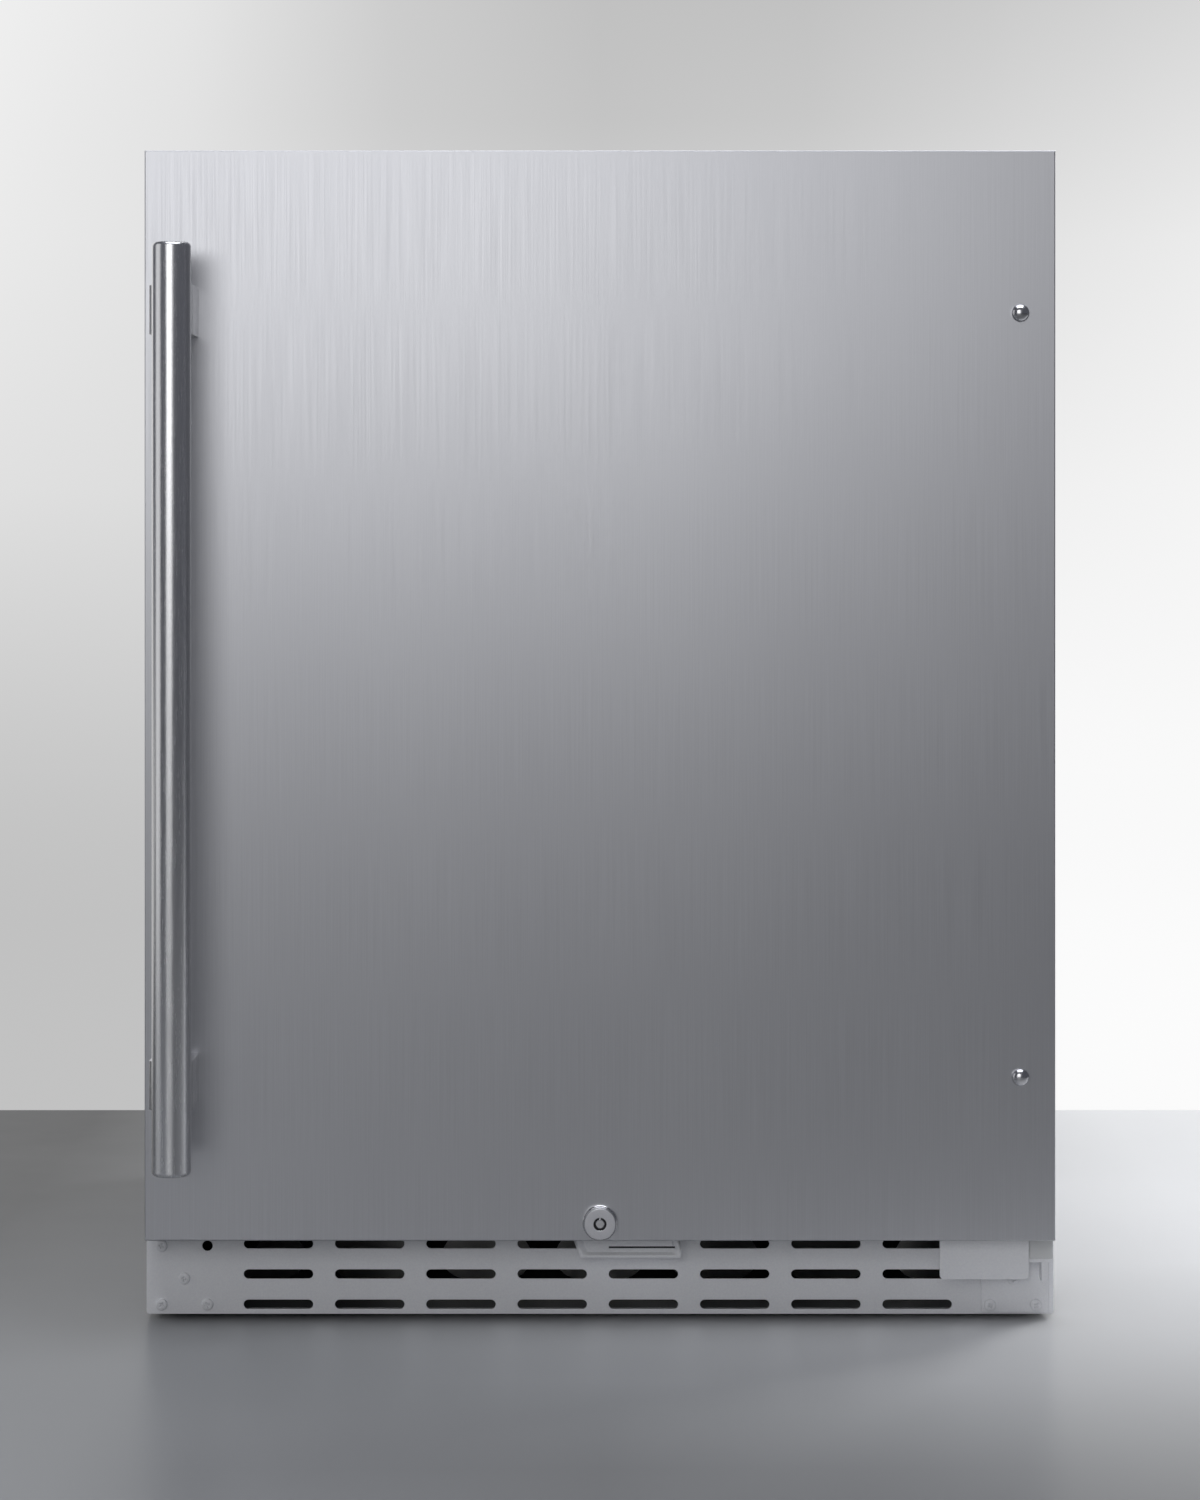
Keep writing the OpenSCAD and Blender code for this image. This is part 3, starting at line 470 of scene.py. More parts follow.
VERTICAL_GRAIN = (1500, 1500, 9)
MATERIALS = {
    "brushed_stainless": brushed_metal("door_steel", (0.60, 0.605, 0.63), VERTICAL_GRAIN, 0.34, 0.55),
    "wrap_stainless": brushed_metal("wrap_steel", (0.56, 0.565, 0.59), VERTICAL_GRAIN, 0.36, 0.0),
    "handle_stainless": brushed_metal("handle_steel", (0.84, 0.84, 0.85), (900, 900, 40), 0.24, 0.0),
    "grille_stainless": satin_metal("grille_steel", (0.95, 0.955, 0.985), 0.5, 900, 0.03, 0.12),
    "polished_steel": polished_metal("polished_steel", (0.66, 0.66, 0.68), 0.16),
    "zinc_steel": satin_metal("zinc_steel", (0.66, 0.66, 0.685), 0.36, 900, 0.03, 0.5),
    "galvanised_sheet": galvanised_metal("galvanised_sheet", (0.56, 0.58, 0.60)),
    "black_steel": moulded_plastic("black_enamel", (0.005, 0.005, 0.005), 0.8, 300, specular=0.12),
    "insulation_foam": foam_material("insulation_foam"),
    "white_liner": moulded_plastic("white_liner", (0.80, 0.81, 0.81), 0.3, 260, 0.05, 0.2),
    "white_plastic": moulded_plastic("white_plastic", (0.78, 0.79, 0.79), 0.4),
    "clear_bin": clear_plastic("clear_bin", (0.965, 0.985, 0.985)),
    "shelf_glass": shelf_glass_material("shelf_glass"),
    "lamp_diffuser": lamp_material("lamp_diffuser"),
    "black_plastic": moulded_plastic("black_plastic", (0.02, 0.02, 0.022), 0.5),
    "grey_gasket": soft_rubber("grey_gasket", (0.30, 0.31, 0.33)),
    "black_rubber": soft_rubber("black_rubber", (0.018, 0.018, 0.018)),
    "compressor_black": moulded_plastic("compressor_enamel", (0.015, 0.015, 0.016), 0.28, 240),
    "motor_metal": satin_metal("motor_metal", (0.52, 0.53, 0.55), 0.4),
    "evaporator_aluminium": satin_metal("evaporator_aluminium", (0.74, 0.75, 0.77), 0.38, 300),
    "copper_tube": satin_metal("copper_tube", (0.72, 0.40, 0.25), 0.3, 200),
}
SLOT_OF = {row["node"]: row["material_slot"] for row in frame["record"]["subparts"]}
BODY_OF = {n: body for body, names in frame["record"]["behaviour"]["bodies"].items() for n in names}


def paint(piece, material):
    piece.data.materials.clear()
    piece.data.materials.append(material)


def place(piece, node, also=(), slot=None):
    """The piece stands for the node: same body, same slot, and the node is hidden."""
    name = slot or SLOT_OF[node]
    paint(piece, MATERIALS[name])
    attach(piece, BODY_OF[node])
    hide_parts(node, *also)


def ride_along(piece, node, slot):
    """An extra piece on the node's body, in a finish of its own."""
    paint(piece, MATERIALS[slot])
    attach(piece, BODY_OF[node])


# ---- Stage, camera and lights --------------------------------------------------------

def tone_stops(tones, cast=(1, 1, 1)):
    """Evenly spaced ramp stops from a row of brightnesses."""
    last = len(tones) - 1
    return [(k / last, tint(cast, tone)) for k, tone in enumerate(tones)]


# Tones of the stage; they are painted light and shade, not the floor's and wall's own colours. LEFT and
# RIGHT rows run from front to rear, or up the wall. FRONT and MIDDLE rows run from left to right:
# FLOOR_NEAR is for the floor close to the object.
FLOOR_REACH = (-1.35, 0.60)
FLOOR_HALF_WIDTH = 0.45
FLOOR_NEAR_STARTS = (-0.63, -0.42)
# Floor rows are painted light and shade: paler at the right rear where the rear light falls, and FRONT
# and NEAR dip in the middle as a painted shadow of the object.
FLOOR_LEFT = (0.20, 0.26, 0.35, 0.27, 0.16, 0.06, 0.035)
FLOOR_RIGHT = (0.19, 0.20, 0.225, 0.46, 0.71, 0.74, 0.69)
FLOOR_FRONT = (1.0, 0.93, 0.7, 0.6, 0.7, 0.9, 1.0)
FLOOR_NEAR = (1.0, 0.97, 0.93, 1.0, 1.0, 1.0, 1.0)
# Apron and wall tones are painted light: the sheets glow with them, paler at the right and darker in the
# middle of the wall.
APRON_LEFT = (0.52, 0.52, 0.545, 0.57)
APRON_RIGHT = (0.94, 0.94)
WALL_LEFT = (0.57, 0.74, 0.82, 0.865)
WALL_RIGHT = (0.94, 0.90, 0.83, 0.67)
WALL_MIDDLE = (1.0, 0.9, 0.735, 0.68, 0.735, 0.885, 1.0)


def floor_with_painted_light():
    """Matt grey floor with painted light: it turns paler toward the right and the rear, and a painted
    shadow of the object darkens it in front.
    """
    s = Shader("floor_with_painted_light").set(Specular_IOR_Level=0.07)
    depth = s.along("Y", *FLOOR_REACH)
    cast = (0.975, 1.0, 1.03)
    left = s.ramp(depth, tone_stops(FLOOR_LEFT, cast))
    right = s.ramp(depth, tone_stops(FLOOR_RIGHT, (0.99, 1.0, 1.01)))
    cloud = s.noise((14, 14, 14), detail=4.0)
    mottle = s.ramp(cloud, [(0.3, (0.985, 0.985, 0.985)), (0.7, (1, 1, 1))])
    across = s.along("X", -FLOOR_HALF_WIDTH, FLOOR_HALF_WIDTH)
    front, near = s.ramp(across, tone_stops(FLOOR_FRONT)), s.ramp(across, tone_stops(FLOOR_NEAR))
    # Painted shadow of the object: the floor is darker in the middle in front of it.
    painted_object_shadow = s.blended(front, near, s.along("Y", *FLOOR_NEAR_STARTS))
    shaded = s.multiplied(s.blended(left, right, across), painted_object_shadow)
    s.colour(s.multiplied(shaded, mottle))
    s.rough(s.ranged(cloud, 0.29, 0.31))
    return s.material


def glow_as_painted_light(s, colour):
    """A glowing sheet in place of lit white paper: its emission is painted light, the brightness that
    light falling on it would give.
    """
    s.set(Specular_IOR_Level=0.0, Base_Color=(0.02, 0.02, 0.02, 1), Roughness=1.0, Emission_Strength=1.0)
    s.link(colour, s.bsdf.inputs["Emission Color"])
    return s.material


def apron_painted_light(far):
    # The apron glows with painted light, paler toward the right.
    s = Shader("apron_painted_glow")
    depth = s.along("Y", WALL_Y, far)
    left, right = s.ramp(depth, tone_stops(APRON_LEFT)), s.ramp(depth, tone_stops(APRON_RIGHT))
    return glow_as_painted_light(s, s.blended(left, right, s.along("X", -0.4, 0.4)))


def wall_painted_light():
    s = Shader("wall_painted_glow")
    height = s.along("Z", 0, 1.93)
    sides = s.blended(s.ramp(height, tone_stops(WALL_LEFT)), s.ramp(height, tone_stops(WALL_RIGHT)),
                      s.along("X", -1.0, 1.0))
    # WALL_MIDDLE is painted shade: the wall is darker in the middle, more so higher up.
    shade_up = s.ramp(s.along("X", -1.6, 1.6), tone_stops(WALL_MIDDLE))
    middle = s.blended(s.ramp(height, tone_stops((1.0, 1.0))), shade_up, s.along("Z", 0.1, 1.6))
    return glow_as_painted_light(s, s.multiplied(sides, middle))


def swept_sheet(name, half_wide, profile):
    """A sheet as wide as the stage that follows a profile of (y, z) points."""
    bm = bmesh.new()
    rows = [[bm.verts.new((side * half_wide, y, z)) for side in (-1, 1)] for y, z in profile]
    for low, high in zip(rows, rows[1:]):
        bm.faces.new((low[0], low[1], high[1], high[0]))
    return from_bmesh(name, bm)


def build_stage():
    """A grey floor, and behind it a pale sheet that runs back and sweeps up far away."""
    half_wide, front, far, sweep, top = 9.0, -9.0, 5.6, 1.2, 6.0
    rise = arc((far, sweep), sweep, -90, 0, 12)
    stage = [
        (swept_sheet("stage_floor", half_wide, [(front, 0), (WALL_Y, 0)]), floor_with_painted_light()),
        (swept_sheet("stage_apron", half_wide, [(WALL_Y, 0), (far, 0)]), apron_painted_light(far)),
        (swept_sheet("stage_backdrop", half_wide, rise + [(far + sweep, top)]), wall_painted_light()),
    ]
    for sheet, material in stage:
        paint(sheet, material)


def build_camera():
    camera = bpy.data.cameras.new("camera")
    camera.sensor_fit = "AUTO"
    camera.sensor_width = 36.0
    camera.lens = CAMERA_LENS_MM
    camera.shift_y = CAMERA_SHIFT_UP
    holder = bpy.data.objects.new("camera", camera)
    holder.location = (0, DOOR_FACE_Y - CAMERA_DISTANCE, CAMERA_HEIGHT)
    holder.rotation_euler = (math.radians(90), 0, 0)
    bpy.context.scene.collection.objects.link(holder)
    bpy.context.scene.camera = holder
    bpy.context.scene.view_settings.view_transform = "Standard"


def area_light(name, place_at, look_at, size, radiance, colour=(1, 1, 1)):
    """A rectangular light that is as bright as radiance says, whatever its size."""
    light = bpy.data.lights.new(name, "AREA")
    light.shape = "RECTANGLE"
    light.size, light.size_y = size
    light.energy = radiance * math.pi * size[0] * size[1]
    light.color = colour
    holder = bpy.data.objects.new(name, light)
    holder.location = place_at
    direction = Vector(look_at) - Vector(place_at)
    holder.rotation_euler = direction.to_track_quat("-Z", "Y").to_euler()
    holder.visible_camera = False
    bpy.context.scene.collection.objects.link(holder)


def build_lights():
    """Three lights behind the camera, a strip at the left, one overhead and two at the rear."""
    area_light("softbox_left", (-0.75, -4.1, 1.62), (-0.75, 0, 1.62), (2.0, 2.0), 1.97)
    area_light("softbox_right", (0.53, -4.1, 1.62), (0.53, 0, 1.62), (0.66, 2.0), 0.46)
    area_light("strip_left", (-2.6, -0.82, 1.1), (0, -0.82, 1.1), (1.5, 2.2), 0.6)
    area_light("overhead", (0.2, -1.1, 3.2), (0.2, -1.1, 0), (2.6, 2.0), 3.2, (0.93, 0.95, 1.0))
    area_light("low_fill", (-0.8, -4.1, 0.3), (-0.8, 0, 0.3), (2.4, 0.56), 0.54)
    area_light("rear_right", (1.9, 1.5, 1.6), (0.6, 0.3, 0), (1.0, 1.0), 16)
    area_light("rear_top", (0.3, 2.6, 3.4), (0.1, 0, 0.3), (2.4, 1.4), 2.6)
    world = bpy.data.worlds.new("studio")
    world.use_nodes = True
    background = world.node_tree.nodes["Background"]
    background.inputs["Color"].default_value = (0.56, 0.58, 0.67, 1)
    background.inputs["Strength"].default_value = 0.17
    bpy.context.scene.world = world


# ---- Door skin, handle, lock ---------------------------------------------------------

def folded_block(name, low, high, radius, chosen, segments=6):
    """A box whose chosen edges are folded round; chosen tests the middle of an edge."""
    bm = bmesh.new()
    bmesh.ops.create_cube(bm, size=1)
    for vert in bm.verts:
        vert.co = Vector([low[i] + (vert.co[i] + 0.5) * (high[i] - low[i]) for i in range(3)])
    edges = [edge for edge in bm.edges if chosen((edge.verts[0].co + edge.verts[1].co) / 2)]
    bmesh.ops.bevel(bm, geom=edges, offset=radius, segments=segments, profile=0.5, affect="EDGES")
    return from_bmesh(name, bm)


def build_door_skin():
    """Pan bent round at all four edges; its side returns end below the top of the face."""
    low, high = DOOR_LOW, DOOR_HIGH
    bend, wall, hem, cut_edge = 0.9 * MM, 0.8 * MM, 9 * MM, 0.2 * MM
    side_top = WRAP_HIGH.z - 0.5 * MM

    def front_edge(middle):
        return abs(middle.y - low.y) < 2 * wall

    skin = folded_block("door_skin", low, high, bend, front_edge)
    hollow = folded_block("hollow", (low.x + wall, low.y + wall, low.z - wall),
                          (high.x - wall, high.y + wall, high.z - wall), bend - wall, front_edge)
    behind = block("behind", (low.x - wall, low.y + hem, side_top), (high.x + wall, high.y + wall, 1))
    cut(skin, [hollow, behind])
    add_bevel(skin, cut_edge, 2, 50)
    apply_modifiers(skin)
    shade(skin, 35)
    place(skin, "door_panel")


def build_handle():
    low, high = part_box("handle_bar")
    radius = (high.x - low.x) / 2
    x, y = (low.x + high.x) / 2, (low.y + high.y) / 2
    turn = 2.8 * MM
    profile = [(0, low.z)]
    profile += [(radius - turn + turn * math.sin(a), low.z + turn - turn * math.cos(a))
                for a in [math.radians(15 * k) for k in range(7)]]
    profile += [(radius, low.z + (high.z - low.z) * k / 8) for k in range(1, 8)]
    profile += [(radius - turn + turn * math.cos(a), high.z - turn + turn * math.sin(a))
                for a in [math.radians(15 * k) for k in range(7)]]
    profile += [(0, high.z)]
    bar = lathe("handle_rod", profile, (x, y, 0), "Z", 96, 40)
    place(bar, "handle_bar")

    posts = softened("handle_posts", 0.9 * MM, 3)
    place(posts, "handle_posts")


def build_lock():
    """Polished housing with a satin face, and the plug that turns in it behind a round keyway."""
    low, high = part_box("lock_body")
    x, z = (low.x + high.x) / 2, (low.z + high.z) / 2
    face = low.y
    flange_r = (high.x - low.x) / 2
    profile = [(4.2 * MM, 5 * MM), (4.2 * MM, 0.5 * MM), (4.6 * MM, 0.2 * MM), (9.3 * MM, 0.2 * MM),
               (10.1 * MM, 0.5 * MM), (10.6 * MM, 1.3 * MM), (10.65 * MM, 4.4 * MM),
               (flange_r - 0.3 * MM, 4.6 * MM), (flange_r, 5.0 * MM), (flange_r, 7 * MM),
               (9.5 * MM, 7.2 * MM), (9.5 * MM, high.y - face), (4.2 * MM, high.y - face)]
    housing = lathe("lock_housing", [(r, face + d) for r, d in profile], (x, 0, z), "Y", 96, tube=True)
    place(housing, "lock_body")
    ring = [(4.3 * MM, 0.4 * MM), (4.35 * MM, 0.1 * MM), (4.6 * MM, 0), (9.6 * MM, 0),
            (9.95 * MM, 0.12 * MM), (10.05 * MM, 0.4 * MM)]
    disc = lathe("lock_face_disc", [(r, face + d) for r, d in ring], (x, 0, z), "Y", 96, tube=True)
    ride_along(disc, "lock_body", "zinc_steel")

    low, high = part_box("lock_cylinder")
    front, back = low.y + 0.9 * MM, high.y
    post_r, bore_r, tail_r = 2.95 * MM, 4.1 * MM, 3 * MM
    shoulder = DOOR_FACE_Y + 23.8 * MM
    profile = [(0, front), (2.5 * MM, front), (post_r, front + 0.4 * MM),
               (post_r, front + 5.4 * MM), (bore_r, front + 5.6 * MM),
               (bore_r, shoulder), (tail_r, shoulder), (tail_r, back), (0, back)]
    core = lathe("lock_core_turned", profile, (x, 0, z), "Y", 48)
    key = block("lock_core_tab", (x - 0.7 * MM, front + 0.8 * MM, z + 2.6 * MM),
                (x + 0.7 * MM, front + 5.5 * MM, z + 4.1 * MM), 0.15 * MM)
    plug = join_pieces("lock_core_shape", [core, key])
    place(plug, "lock_cylinder")
    shade(plug, 35)

    # A black disc at the bottom of the keyway ring is painted shade: it makes the recess read dark.
    floor_front, floor_back = front + 2.4 * MM, front + 5.3 * MM
    profile = [(0, floor_front), (bore_r, floor_front), (bore_r, floor_back), (0, floor_back)]
    floor = lathe("lock_keyway_painted_shade", profile, (x, 0, z), "Y", 48)
    ride_along(floor, "lock_cylinder", "black_plastic")


def build_plugs():
    """Domed plugs pressed in the spare handle holes."""
    low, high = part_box("handle_hole_plugs")
    x = (low.x + high.x) / 2
    radius = (high.x - low.x) / 2
    stem_r, rim_y, dome_height = 3 * MM, DOOR_FACE_Y - 1.2 * MM, 3.7 * MM
    plugs = []
    for z in (low.z + radius, high.z - radius):
        profile = [(stem_r, DOOR_FACE_Y + 11 * MM), (stem_r, DOOR_FACE_Y),
                   (radius, DOOR_FACE_Y - 0.05 * MM), (radius, rim_y)]
        dome = [(radius * math.cos(a), rim_y - dome_height * math.sin(a))
                for a in [math.radians(9 * k) for k in range(1, 11)]]
        dome[-1] = (0, dome[-1][1])
        plugs.append(lathe("plug", profile + dome, (x, 0, z), "Y", 48, 60))
    piece = join_pieces("hole_plug_pair", plugs)
    shade(piece, 50)
    place(piece, "handle_hole_plugs")


# ---- Grille, strike, hinge parts -----------------------------------------------------

SCREW_HEAD_R = 3.9 * MM


def screw_head(name, shank):
    """A low pan head at the origin facing -Y, with a small cross recess."""
    r, rim, dome = SCREW_HEAD_R, 0.75 * MM, 1.0 * MM
    profile = [(1.9 * MM, shank), (1.9 * MM, 0), (r - 0.1 * MM, 0), (r, -0.15 * MM), (r, -rim)]
    for k in range(1, 9):
        turn = math.radians(10.5 * k)
        profile.append((r * math.cos(turn) ** 0.55, -rim - dome * math.sin(turn) ** 0.8))
    profile.append((0, -rim - dome))
    head = lathe(name, profile, (0, 0, 0), "Y", 40, 50)
    wings = []
    for turn in (0, 90):
        wing = block(name + "_wing", (-1.7 * MM, -3 * MM, -0.38 * MM), (1.7 * MM, -0.9 * MM, 0.38 * MM))
        wing.data.transform(Matrix.Rotation(math.radians(turn), 4, "Y"))
        wings.append(wing)
    return cut(head, wings)


def screws_at(name, master, places):
    """Copies of one screw; a place is (point, matrix that turns the head)."""
    copies = []
    for k, (point, turn, spin) in enumerate(places):
        mesh = master.data.copy()
        mesh.transform(Matrix.Rotation(math.radians(spin), 4, "Y"))
        mesh.transform(turn)
        mesh.transform(Matrix.Translation(point))
        copies.append(link(f"{name}_{k}", mesh))
    piece = join_pieces(name, copies)
    shade(piece, 40)
    return piece


SLOTS_WIDE, SLOTS_HIGH = 8, 3
SLOT_LENGTH, SLOT_HEIGHT, SLOT_PITCH, ROW_PITCH = 45.9 * MM, 6.1 * MM, 60.36 * MM, 20 * MM
SLOT_SHIFT, ROW_FIRST = -1.45 * MM, 9.4 * MM
SPARE_HOLE_R = 3.45 * MM
SCREWS_INNER = [(275 * MM, 26.6 * MM), (290 * MM, 9.4 * MM), (259.7 * MM, 9.4 * MM)]
UPPER_INNER, UPPER_OUTER = (259.7 * MM, 48.1 * MM), (290 * MM, 48.1 * MM)
HINGE_SIDE_SHIFT = 1.9 * MM
HINGE_LEAF_THICK, LOWER_LEAF_TOP = 2.4 * MM, 42.6 * MM
UPPER_LEAF_SCREWS = [(260 * MM, 14 * MM), (287 * MM, 14 * MM), (273.5 * MM, 44 * MM)]
COVER_SCREWS = [(x * MM, z * MM) for x in (-280, 280) for z in (24, 200)]
GRILLE_Y = GRILLE_LOW.y
FACE_FRONT = Matrix.Identity(4)
FACE_BACK = Matrix.Rotation(math.pi, 4, "Z")
FACE_UP = Matrix.Rotation(math.radians(-90), 4, "X")


def build_grille():
    """Slotted face with its four folded edges and the two tabs that screw to the cabinet."""
    low, high = GRILLE_LOW, GRILLE_HIGH
    front_back = WRAP_LOW.y - 0.4 * MM
    holes = []
    for column in range(SLOTS_WIDE):
        for row in range(SLOTS_HIGH):
            x = (column - (SLOTS_WIDE - 1) / 2) * SLOT_PITCH + SLOT_SHIFT
            holes.append(slot_outline(x, ROW_FIRST + row * ROW_PITCH, SLOT_LENGTH, SLOT_HEIGHT))
    holes.append(circle_outline(-UPPER_INNER[0], UPPER_INNER[1], SPARE_HOLE_R))
    outline = rounded_outline(low.x, high.x, low.z, high.z, (2 * MM, 2 * MM, 0.8 * MM, 0.8 * MM))
    t, hair, edge = 1.2 * MM, 0.02 * MM, 0.2 * MM
    back, lip_end = GRILLE_Y + 0.6 * MM, GRILLE_Y + 15 * MM
    tab_x, tab_half, tab_z = 282 * MM, 8 * MM, 34 * MM
    boxes = [
        ("grille_side", (low.x + hair, back, low.z + 2.2 * MM),
         (low.x + t, front_back, high.z - 1 * MM)),
        ("grille_side", (high.x - t, back, low.z + 2.2 * MM),
         (high.x - hair, front_back, high.z - 1 * MM)),
        ("grille_top", (low.x + 1 * MM, back, high.z - t - hair),
         (high.x - 1 * MM, front_back, high.z - hair)),
        ("grille_lip", (low.x + 2 * MM, back, low.z + hair),
         (high.x - 2 * MM, lip_end, low.z + t)),
        ("grille_tab", (-tab_x - tab_half, back, tab_z), (-tab_x + tab_half, high.y, tab_z + t)),
        ("grille_tab", (tab_x - tab_half, back, tab_z), (tab_x + tab_half, high.y, tab_z + t)),
    ]
    parts = [sheet_plate("grille_face", outline, holes, GRILLE_Y, t, 0.28 * MM)]
    parts += [block(name, start, end, edge) for name, start, end in boxes]
    piece = join_pieces("grille_sheet", parts)
    shade(piece, 35)
    place(piece, "kick_grille")


def dished_outline(scale_x, scale_z, low, high):
    """The strike's outline: upright on the right, slanted on the left, round below."""
    x0, x1, z0, z1 = low.x, high.x, low.z, high.z
    cx, cz = (x0 + x1) / 2, z1
    points = [(x0 + 4.2 * MM, z0 + 2.2 * MM)]
    points += arc((x0 + 6.4 * MM, z0 + 2.2 * MM), 2.2 * MM, 190, 268, 5)
    points += arc((x1 - 3.4 * MM, z0 + 2.2 * MM), 2.2 * MM, 272, 350, 5)
    points += [(x1 - 1.2 * MM, z0 + 3 * MM), (x1 - 2.6 * MM, z1), (x0, z1)]
    return [(cx + (px - cx) * scale_x, cz + (pz - cz) * scale_z) for px, pz in points]


def build_strike():
    """Pressed pocket: a slanted rim falls back to a flat inner panel with one narrow slit."""
    low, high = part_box("lock_strike")
    y = low.y
    rings = [
        (dished_outline(1.0, 1.0, low, high), y + 0.9 * MM),
        (dished_outline(0.985, 0.97, low, high), y + 0.25 * MM),
        (dished_outline(0.955, 0.90, low, high), y + 0.02 * MM),
        (dished_outline(0.925, 0.84, low, high), y + 0.1 * MM),
        (dished_outline(0.86, 0.74, low, high), y + 1.5 * MM),
        (dished_outline(0.84, 0.70, low, high), y + 1.7 * MM),
    ]
    bm = bmesh.new()
    loops = [[bm.verts.new((px, py, pz)) for px, pz in ring] for ring, py in rings]
    for outer, inner in zip(loops, loops[1:]):
        for k in range(len(outer)):
            n = (k + 1) % len(outer)
            bm.faces.new((outer[k], outer[n], inner[n], inner[k]))
    bm.faces.new(loops[-1])
    back = [bm.verts.new((px, y + 2.6 * MM, pz)) for px, pz in rings[0][0]]
    for k in range(len(back)):
        n = (k + 1) % len(back)
        bm.faces.new((loops[0][n], loops[0][k], back[k], back[n]))
    bm.faces.new(back)
    dish = from_bmesh("strike_dish", bm, 40)
    slit = block("slit", (5.7 * MM, y - 2 * MM, 49.0 * MM), (49.4 * MM, y + 6 * MM, 50.3 * MM))
    cut(dish, [slit])
    ledge = block("strike_ledge", (low.x + 8 * MM, y + 2 * MM, low.z + 0.3 * MM),
                  (high.x - 5 * MM, high.y, low.z + 1.5 * MM), 0.2 * MM)
    back_leaf = block("strike_leaf", (low.x + 4 * MM, high.y - 1.2 * MM, low.z + 0.3 * MM),
                      (high.x - 2 * MM, high.y, GRILLE_HIGH.z - 1 * MM), 0.2 * MM)
    piece = join_pieces("strike_shape", [dish, ledge, back_leaf])
    shade(piece, 40)
    place(piece, "lock_strike", slot="grille_stainless")
    # A black strip just behind the slit is painted shade that makes the slit read dark.
    dark = block("strike_slit_painted_shade", (5.8 * MM, y + 2.1 * MM, 49.05 * MM),
                 (49.3 * MM, y + 2.5 * MM, 50.25 * MM), 0.1 * MM)
    ride_along(dark, "lock_strike", "black_plastic")


def build_hinge_side():
    """Hinge parts, the cover plate in front of them and the bushes, with their edges broken."""
    for node, width in (("lower_hinge_bracket", 0.35 * MM), ("upper_hinge_bracket", 0.4 * MM),
                        ("hinge_cover_plate", 0.3 * MM), ("hinge_bushes", 0.4 * MM),
                        ("hinge_pins", 0.3 * MM)):
        place(softened(node, width), node)


def build_hinge_spacer():
    """Plastic stand-off that fills the space between the lower leaf and the door, right of the pin."""
    low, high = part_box("lower_hinge_bracket")
    pin_middle = sum(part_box("hinge_pins"), Vector()) / 2
    outline = rounded_outline(pin_middle.x + 8.5 * MM, high.x - 0.3 * MM, LOWER_LEAF_TOP,
                              DOOR_LOW.z - 1 * MM, (0, 0, 0.8 * MM, 0.8 * MM))
    depth = GRILLE_Y - 2.5 * MM - low.y
    spacer = sheet_plate("hinge_spacer", outline, [], low.y + 0.1 * MM, depth, 0.35 * MM)
    ride_along(spacer, "lower_hinge_bracket", "white_plastic")


def build_screws():
    """Heads at the grille's left end and the rear cover, and those that hold both hinges."""
    master = screw_head("screw_master", 5 * MM)
    left = [(-x, z) for x, z in SCREWS_INNER + [UPPER_OUTER]]
    spins = [12, 38, 65, 20, 50, 5, 71, 33]
    places = [((x, GRILLE_Y, z), FACE_FRONT, spins[k]) for k, (x, z) in enumerate(left)]
    cover_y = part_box("machine_cover")[1].y
    for k, (x, z) in enumerate(COVER_SCREWS):
        places.append(((x, cover_y, z), FACE_BACK, spins[k + 4]))
    place(screws_at("panel_screw_set", master, places), "panel_screws", slot="grille_stainless")

    leaf_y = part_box("lower_hinge_bracket")[1].y - HINGE_LEAF_THICK
    leaf_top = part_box("upper_hinge_bracket")[1].z
    right = [(x - HINGE_SIDE_SHIFT, z) for x, z in SCREWS_INNER + [UPPER_INNER]]
    places = [((x, leaf_y, z), FACE_FRONT, spins[k]) for k, (x, z) in enumerate(right)]
    front = WRAP_LOW.y
    for k, (x, dy) in enumerate(UPPER_LEAF_SCREWS):
        places.append(((x, front + dy, leaf_top), FACE_UP, spins[k + 3]))
    place(screws_at("hinge_screw_set", master, places), "hinge_screws", slot="grille_stainless")
    bpy.data.objects.remove(master)


# ---- Everything else: softened CAD shapes in their materials --------------------------

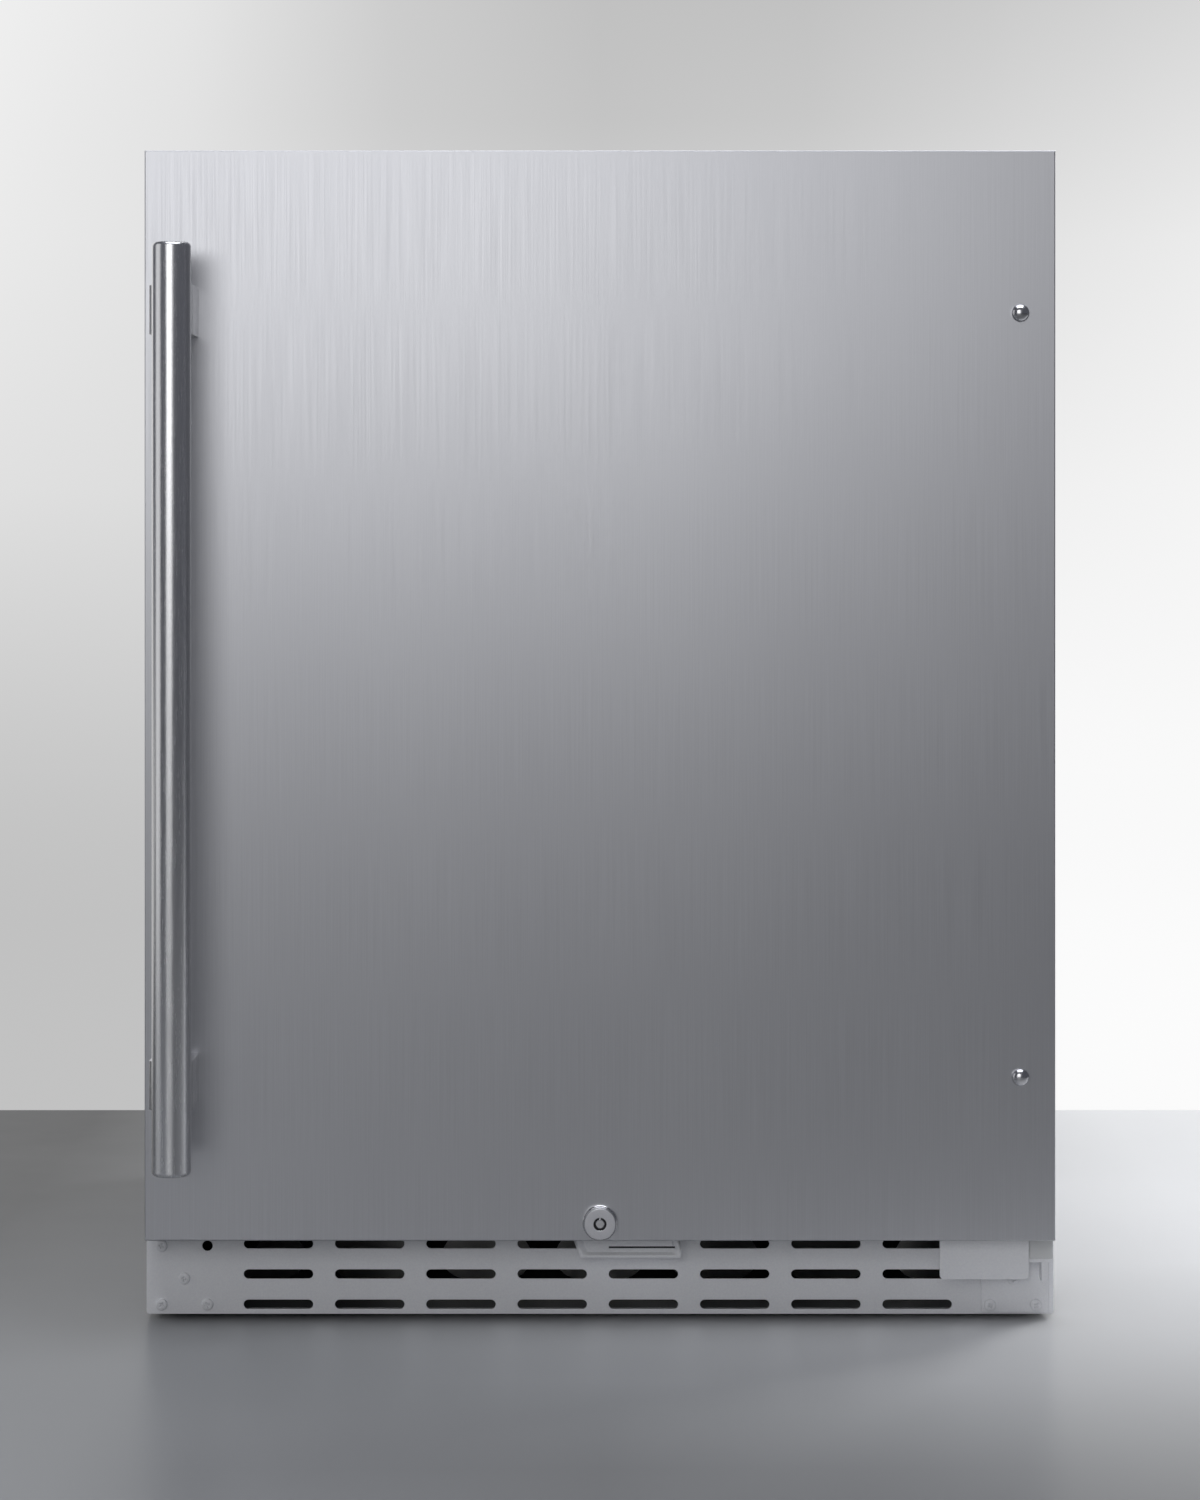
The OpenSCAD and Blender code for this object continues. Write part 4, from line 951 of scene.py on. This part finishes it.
# Width of each node's rounded edges, in millimetres
SOFT_EDGES = {
    "cabinet_wrap": 0.5, "back_sheet": 0.2, "machine_bulkhead": 0.2, "floor_sheet": 0.2,
    "inner_liner": 3.5, "base_tray": 0.3, "relay_box": 2.0, "fan_motor": 1.2,
    "drain_pan": 1.0, "drain_trough": 0.8, "cord_gland": 0.5, "control_housing": 3.0,
    "lamp_lens": 1.6, "upper_shelf_glass": 0.5, "lower_shelf_glass": 0.5,
    "upper_shelf_trim": 0.8, "lower_shelf_trim": 0.8, "crisper_cover": 0.8,
    "switch_body": 1.5, "door_liner": 3.0, "door_top_cap": 0.8, "door_bottom_cap": 0.8,
    "door_bin_upper": 1.0, "door_bin_lower": 1.0, "lock_nut": 0.2, "lock_cam": 0.3,
    "thermostat_knob": 1.2, "crisper_drawer": 1.2, "switch_plunger": 0.8,
    "foot_front_left": 0.6, "foot_front_right": 0.6, "foot_rear_left": 0.6,
    "foot_rear_right": 0.6, "compressor_grommets": 0.8, "machine_cover": 0.2,
    "handle_screws": 0.3,
}


def build_softened_nodes():
    for node, width in SOFT_EDGES.items():
        # The base tray takes the black enamel as painted shade: it stands for the dark seen behind the
        # slots.
        slot = "black_steel" if node == "base_tray" else None  # reads black behind the slots
        place(softened(node, width * MM), node, slot=slot)


def paint_plain_nodes():
    """Every CAD node gets its material, so those whose own shape is shown have one."""
    for name, node in NODES.items():
        material = MATERIALS[SLOT_OF[name]]
        for k in range(len(node.data.materials)):
            node.material_slots[k].material = material


def build_gasket():
    """Closed bellows frame: a ribbed section carried round four mitred corners."""
    low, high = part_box("door_gasket")
    depth = high.y - low.y
    wide = 15 * MM
    section = [(0.0, 0.0), (0.5, 0.0), (0.5, 0.22), (0.0, 0.30), (0.0, 0.42), (0.35, 0.50),
               (0.02, 0.58), (0.0, 0.72), (0.02, 0.94), (0.1, 1.0), (0.9, 1.0), (0.98, 0.94),
               (1.0, 0.80), (0.93, 0.70), (0.98, 0.60), (0.75, 0.50), (0.98, 0.40),
               (1.0, 0.28), (0.75, 0.22), (0.75, 0.0), (1.0, 0.0)]
    bm = bmesh.new()
    rings = []
    for sx, sz in ((-1, -1), (1, -1), (1, 1), (-1, 1)):
        ring = []
        for across, along in section:
            inset = across * wide
            x = high.x - inset if sx > 0 else low.x + inset
            z = high.z - inset if sz > 0 else low.z + inset
            ring.append(bm.verts.new((x, low.y + along * depth, z)))
        rings.append(ring)
    for a, b in zip(rings, rings[1:] + rings[:1]):
        for k in range(len(section)):
            n = (k + 1) % len(section)
            bm.faces.new((a[k], a[n], b[n], b[k]))
    piece = from_bmesh("gasket_bellows", bm, 50)
    place(piece, "door_gasket")


build_stage()
build_camera()
build_lights()
paint_plain_nodes()
build_door_skin()
build_handle()
build_lock()
build_plugs()
build_grille()
build_strike()
build_hinge_side()
build_hinge_spacer()
build_screws()
build_softened_nodes()
build_gasket()
